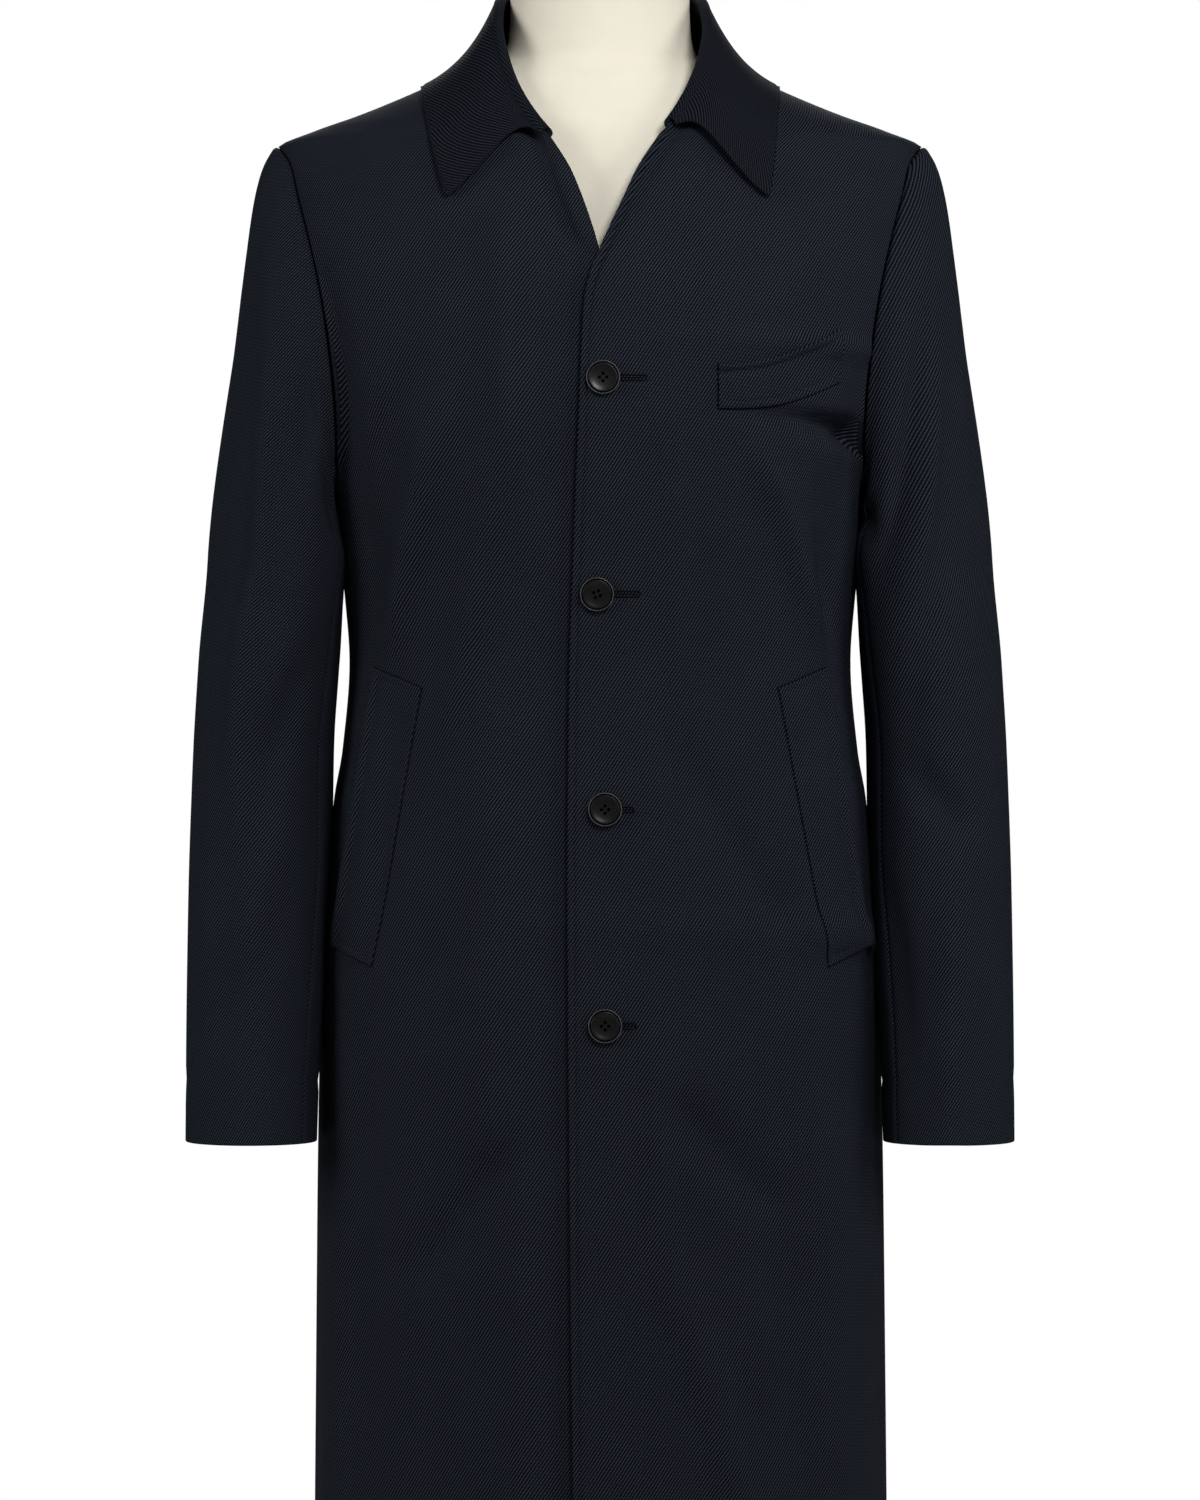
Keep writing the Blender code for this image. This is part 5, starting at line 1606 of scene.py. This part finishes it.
# %% Linen
def linen():
    made, tree, shader = new_material("cream_linen")
    flat = node(tree, "ShaderNodeTexCoord").outputs["UV"]
    split = node(tree, "ShaderNodeSeparateXYZ")
    tree.links.new(flat, split.inputs[0])
    slub = math(tree, "MULTIPLY_ADD", noise(tree, flat, 420.0), 0.8, -0.4)
    waves = []
    for axis in ("X", "Y"):
        phase = math(tree, "MULTIPLY_ADD", split.outputs[axis], 2 * pi / 0.0011, slub)
        waves.append(math(tree, "SINE", phase))
    weave = math(tree, "MULTIPLY_ADD", math(tree, "MULTIPLY", waves[0], waves[1]), 0.5, 0.5)
    cloud = noise(tree, flat, 60.0)
    tone = math(tree, "MULTIPLY_ADD", weave, 0.5, math(tree, "MULTIPLY", cloud, 0.5))
    colour = mix_colour(tree, tone, (0.745, 0.700, 0.575, 1.0), (0.865, 0.820, 0.695, 1.0))
    tree.links.new(colour, shader.inputs["Base Color"])
    shader.inputs["Roughness"].default_value = 0.9
    shader.inputs["Specular IOR Level"].default_value = 0.15
    raise_surface(tree, shader, weave, 0.00018, 0.5)
    return made


LINEN = linen()
print("form finish:", LINEN.name)

# %% Form sections
SHOULDER_EASE = Section(0, 0.0070, 0.0070, 0.0068, 0)
SHOULDER_ROWS = (1.4586, 1.469, 1.479, 1.489)
FORM = (
    Section(0.800, 0.1600, 0.1020, 0.1180, 0.030),
    Section(0.812, 0.1660, 0.1080, 0.1240, 0.030),
    Section(0.900, 0.1690, 0.1110, 0.1280, 0.040),
    Section(1.000, 0.1570, 0.1050, 0.1140, 0.040),
    Section(1.100, 0.1470, 0.1010, 0.0990, 0.040),
    Section(1.200, 0.1590, 0.1120, 0.1090, 0.050),
    Section(1.300, 0.1760, 0.1180, 0.1180, 0.060),
    Section(1.380, 0.1860, 0.1080, 0.1160, 0.060),
    Section(1.430, 0.1900, 0.0955, 0.1070, 0.035),
    Section(1.500, 0.0845, 0.0655, 0.0810, 0.000),
    Section(1.509, 0.0670, 0.0625, 0.0745, 0.000),
    Section(1.525, 0.0620, 0.0610, 0.0650, 0.000),
    Section(1.545, 0.0609, 0.0605, 0.0610, 0.000),
    Section(1.592, 0.0609, 0.0600, 0.0605, 0.000),
    Section(1.600, 0.0560, 0.0550, 0.0560, 0.000),
)
form = Sections(FORM + tuple(
    Section(
        z,
        float(coat.half_width(z)) - SHOULDER_EASE.half_width,
        float(coat.front(z)) - SHOULDER_EASE.front,
        float(coat.back(z)) - SHOULDER_EASE.back,
        float(coat.square(z)),
    )
    for z in SHOULDER_ROWS
))
print("form sections:", len(FORM) + len(SHOULDER_ROWS))

# %% Form
FORM_SIDES = 96
FORM_FOOT_Z, FORM_LOW_Z, FORM_RIM_Z, FORM_TOP_Z = FORM[0].z, FORM[1].z, FORM[-2].z, FORM[-1].z
FORM_CLOSE_Z = 1.420        # from here up the rings are close
NECK_SEAM_Z, NECK_SEAM_RISE, NECK_SEAM_DIP, NECK_SEAM_WIDTH = 1.470, 0.030, 0.0012, 0.0022


def make_form():
    heights = np.unique(np.round(np.concatenate([
        np.linspace(FORM_FOOT_Z, FORM_LOW_Z, 6),
        np.arange(FORM_LOW_Z, FORM_CLOSE_Z, 0.010),
        np.arange(FORM_CLOSE_Z, FORM_RIM_Z, 0.004),
        FORM_TOP_Z - (FORM_TOP_Z - FORM_RIM_Z) * np.cos(np.linspace(0, pi / 2, 7)),
    ]), 5))
    angles = np.linspace(-pi, pi, FORM_SIDES + 1)
    angle, z = np.meshgrid(angles, heights)
    seam_z = NECK_SEAM_Z + NECK_SEAM_RISE * (1 - np.cos(angle)) / 2
    dip = NECK_SEAM_DIP * bump(z - seam_z, NECK_SEAM_WIDTH)
    points = form.point(angle, z) - form.normal(angle, z) * dip[..., None]
    around = lengths(points, 1)
    flat = np.stack([around - around[:, [FORM_SIDES // 2]], np.broadcast_to(z, angle.shape)], axis=-1)
    mesh = bmesh.new()
    rings = [[mesh.verts.new(p) for p in row[:-1]] for row in points]
    uv = mesh.loops.layers.uv.new("flat_cloth")
    for r, (low, high) in enumerate(zip(rings, rings[1:])):
        for i in range(FORM_SIDES):
            j = (i + 1) % FORM_SIDES
            face = mesh.faces.new((low[i], low[j], high[j], high[i]))
            for loop, (row, column) in zip(face.loops, ((r, i), (r, i + 1), (r + 1, i + 1), (r + 1, i))):
                loop[uv].uv = flat[row, column]
    mesh.faces.new(rings[0][::-1])
    mesh.faces.new(rings[-1])
    data = bpy.data.meshes.new("form_covered")
    mesh.to_mesh(data)
    mesh.free()
    data.shade_smooth()
    data.set_sharp_from_angle(angle=radians(60))
    data.materials.append(LINEN)
    obj = bpy.data.objects.new("form_covered", data)
    bpy.context.scene.collection.objects.link(obj)
    keep(obj, "form_torso")


make_form()

# %% [markdown]
# ## Stand
# A plain steel pole and floor plate carry the form. They are below the picture, so they are finished
# plainly. Cylinders with a Bevel would do, but the button's lathe is at hand and rounds the edges as
# well.

# %% Stand
def steel():
    made, tree, shader = new_material("dark_steel")
    where = node(tree, "ShaderNodeTexCoord").outputs["Object"]
    grain = noise(tree, where, 300.0)
    tree.links.new(math(tree, "MULTIPLY_ADD", grain, 0.10, 0.34), shader.inputs["Roughness"])
    shader.inputs["Base Color"].default_value = (0.045, 0.045, 0.048, 1.0)
    shader.inputs["Metallic"].default_value = 0.9
    return made


STEEL = steel()
POLE_RADIUS, POLE_CHAMFER, POLE_SIDES = 0.016, 0.001, 48
BASE_RADIUS, BASE_THICKNESS, BASE_CHAMFER, BASE_FOOT, BASE_SIDES = 0.190, 0.014, 0.004, 0.0005, 96
plate = turned("stand_base_turned", rounded([
    (0.0, BASE_THICKNESS),
    (BASE_RADIUS - BASE_CHAMFER * 2, BASE_THICKNESS),
    (BASE_RADIUS - BASE_CHAMFER, BASE_THICKNESS),
    (BASE_RADIUS, BASE_THICKNESS - BASE_CHAMFER),
    (BASE_RADIUS, BASE_FOOT),
    (BASE_RADIUS - BASE_FOOT, 0.0),
    (0.0, 0.0),
], 2), BASE_SIDES, STEEL)
keep(plate, "stand_base")
low, high = BASE_THICKNESS + SEAM, FORM_FOOT_Z - SEAM
pole = turned("stand_pole_turned", [
    (0.0, high),
    (POLE_RADIUS - POLE_CHAMFER, high),
    (POLE_RADIUS, high - POLE_CHAMFER),
    (POLE_RADIUS, low + POLE_CHAMFER),
    (POLE_RADIUS - POLE_CHAMFER, low),
    (0.0, low),
], POLE_SIDES, STEEL)
pole.data.set_sharp_from_angle(angle=radians(40))
keep(pole, "stand_pole")

# %% [markdown]
# ## The cut of the cloth
# Each piece was flat before it was sewn. Its rectangle of cloth and its flat area could be left to a
# pattern maker. Here only the shape of such a record is made, and no piece is entered in it.

# %% Flat sizes
Cut = namedtuple("Cut", "width length area held rests_on")

# %% [markdown]
# ## Studio
# The photo has a pure white ground and soft light from above. A bright world alone could give that, but
# it would flatten the creases. So a small light stands in front, high on the wearer's left, with a tall
# one at each side and a wide one behind. The world is brighter to the camera than to the coat, so the
# ground stays white while the cloth keeps its shade.

# %% Floor, world and lights
FLOOR_RADIUS, FLOOR_DROP = 3.2, 0.0005


def stage_floor():
    mesh = bmesh.new()
    under = Matrix.Translation((0, 0, -FLOOR_DROP))
    bmesh.ops.create_circle(mesh, cap_ends=True, segments=96, radius=FLOOR_RADIUS, matrix=under)
    data = bpy.data.meshes.new("studio_floor")
    mesh.to_mesh(data)
    mesh.free()
    made, _, shader = new_material("studio_floor")
    shader.inputs["Base Color"].default_value = (0.64, 0.64, 0.64, 1.0)
    shader.inputs["Roughness"].default_value = 0.9
    data.materials.append(made)
    obj = bpy.data.objects.new("studio_floor", data)
    bpy.context.scene.collection.objects.link(obj)


def soft_light(name, place, aim, size, power):
    light = bpy.data.lights.new(name, "AREA")
    light.shape = "RECTANGLE"
    light.size, light.size_y = size
    light.energy = power
    obj = bpy.data.objects.new(name, light)
    obj.location = place
    obj.rotation_mode = "QUATERNION"
    obj.rotation_quaternion = (Vector(aim) - Vector(place)).to_track_quat("-Z", "Y")
    obj.visible_camera = False
    bpy.context.scene.collection.objects.link(obj)


def studio_world():
    world = bpy.data.worlds.new("studio_world")
    world.use_nodes = True
    tree = world.node_tree
    ground = tree.nodes["Background"]
    ground.inputs["Color"].default_value = (1.0, 1.0, 1.0, 1.0)
    seen = node(tree, "ShaderNodeLightPath").outputs["Is Camera Ray"]
    strength = node(tree, "ShaderNodeMapRange")
    strength.inputs["To Min"].default_value = 0.06
    strength.inputs["To Max"].default_value = 1.0
    tree.links.new(seen, strength.inputs["Value"])
    tree.links.new(strength.outputs["Result"], ground.inputs["Strength"])
    bpy.context.scene.world = world


stage_floor()
studio_world()
soft_light("front_light", (0.65, -1.6, 2.30), (0.0, 0.0, 1.15), (0.7, 0.6), 26)
soft_light("left_light", (2.6, -1.2, 2.0), (0.0, 0.0, 1.2), (1.0, 1.6), 29)
soft_light("right_light", (-2.6, -1.2, 2.0), (0.0, 0.0, 1.2), (1.0, 1.6), 40)
soft_light("back_light", (0.0, 3.6, 3.0), (0.0, 0.0, 1.1), (2.4, 1.4), 60)
print("lights:", len(bpy.data.lights))

# %% [markdown]
# ## Camera
# The photo was taken from straight ahead, far enough away for little perspective. A camera without any
# would be simpler, but the neck and the sleeves would then be a little too large, so this one stands four
# metres in front.

# %% Camera
CAMERA_DISTANCE, CAMERA_Z, VIEW_HEIGHT = 4.0, 1.040, 1.020
lens = bpy.data.cameras.new("photo_camera")
lens.angle = 2 * atan(VIEW_HEIGHT / 2 / CAMERA_DISTANCE)
camera = bpy.data.objects.new("photo_camera", lens)
camera.location = (0.0, -CAMERA_DISTANCE, CAMERA_Z)
camera.rotation_euler = (pi / 2, 0.0, 0.0)
bpy.context.scene.collection.objects.link(camera)
bpy.context.scene.camera = camera
bpy.context.scene.view_settings.view_transform = "Standard"
print("camera, m in front:", CAMERA_DISTANCE)
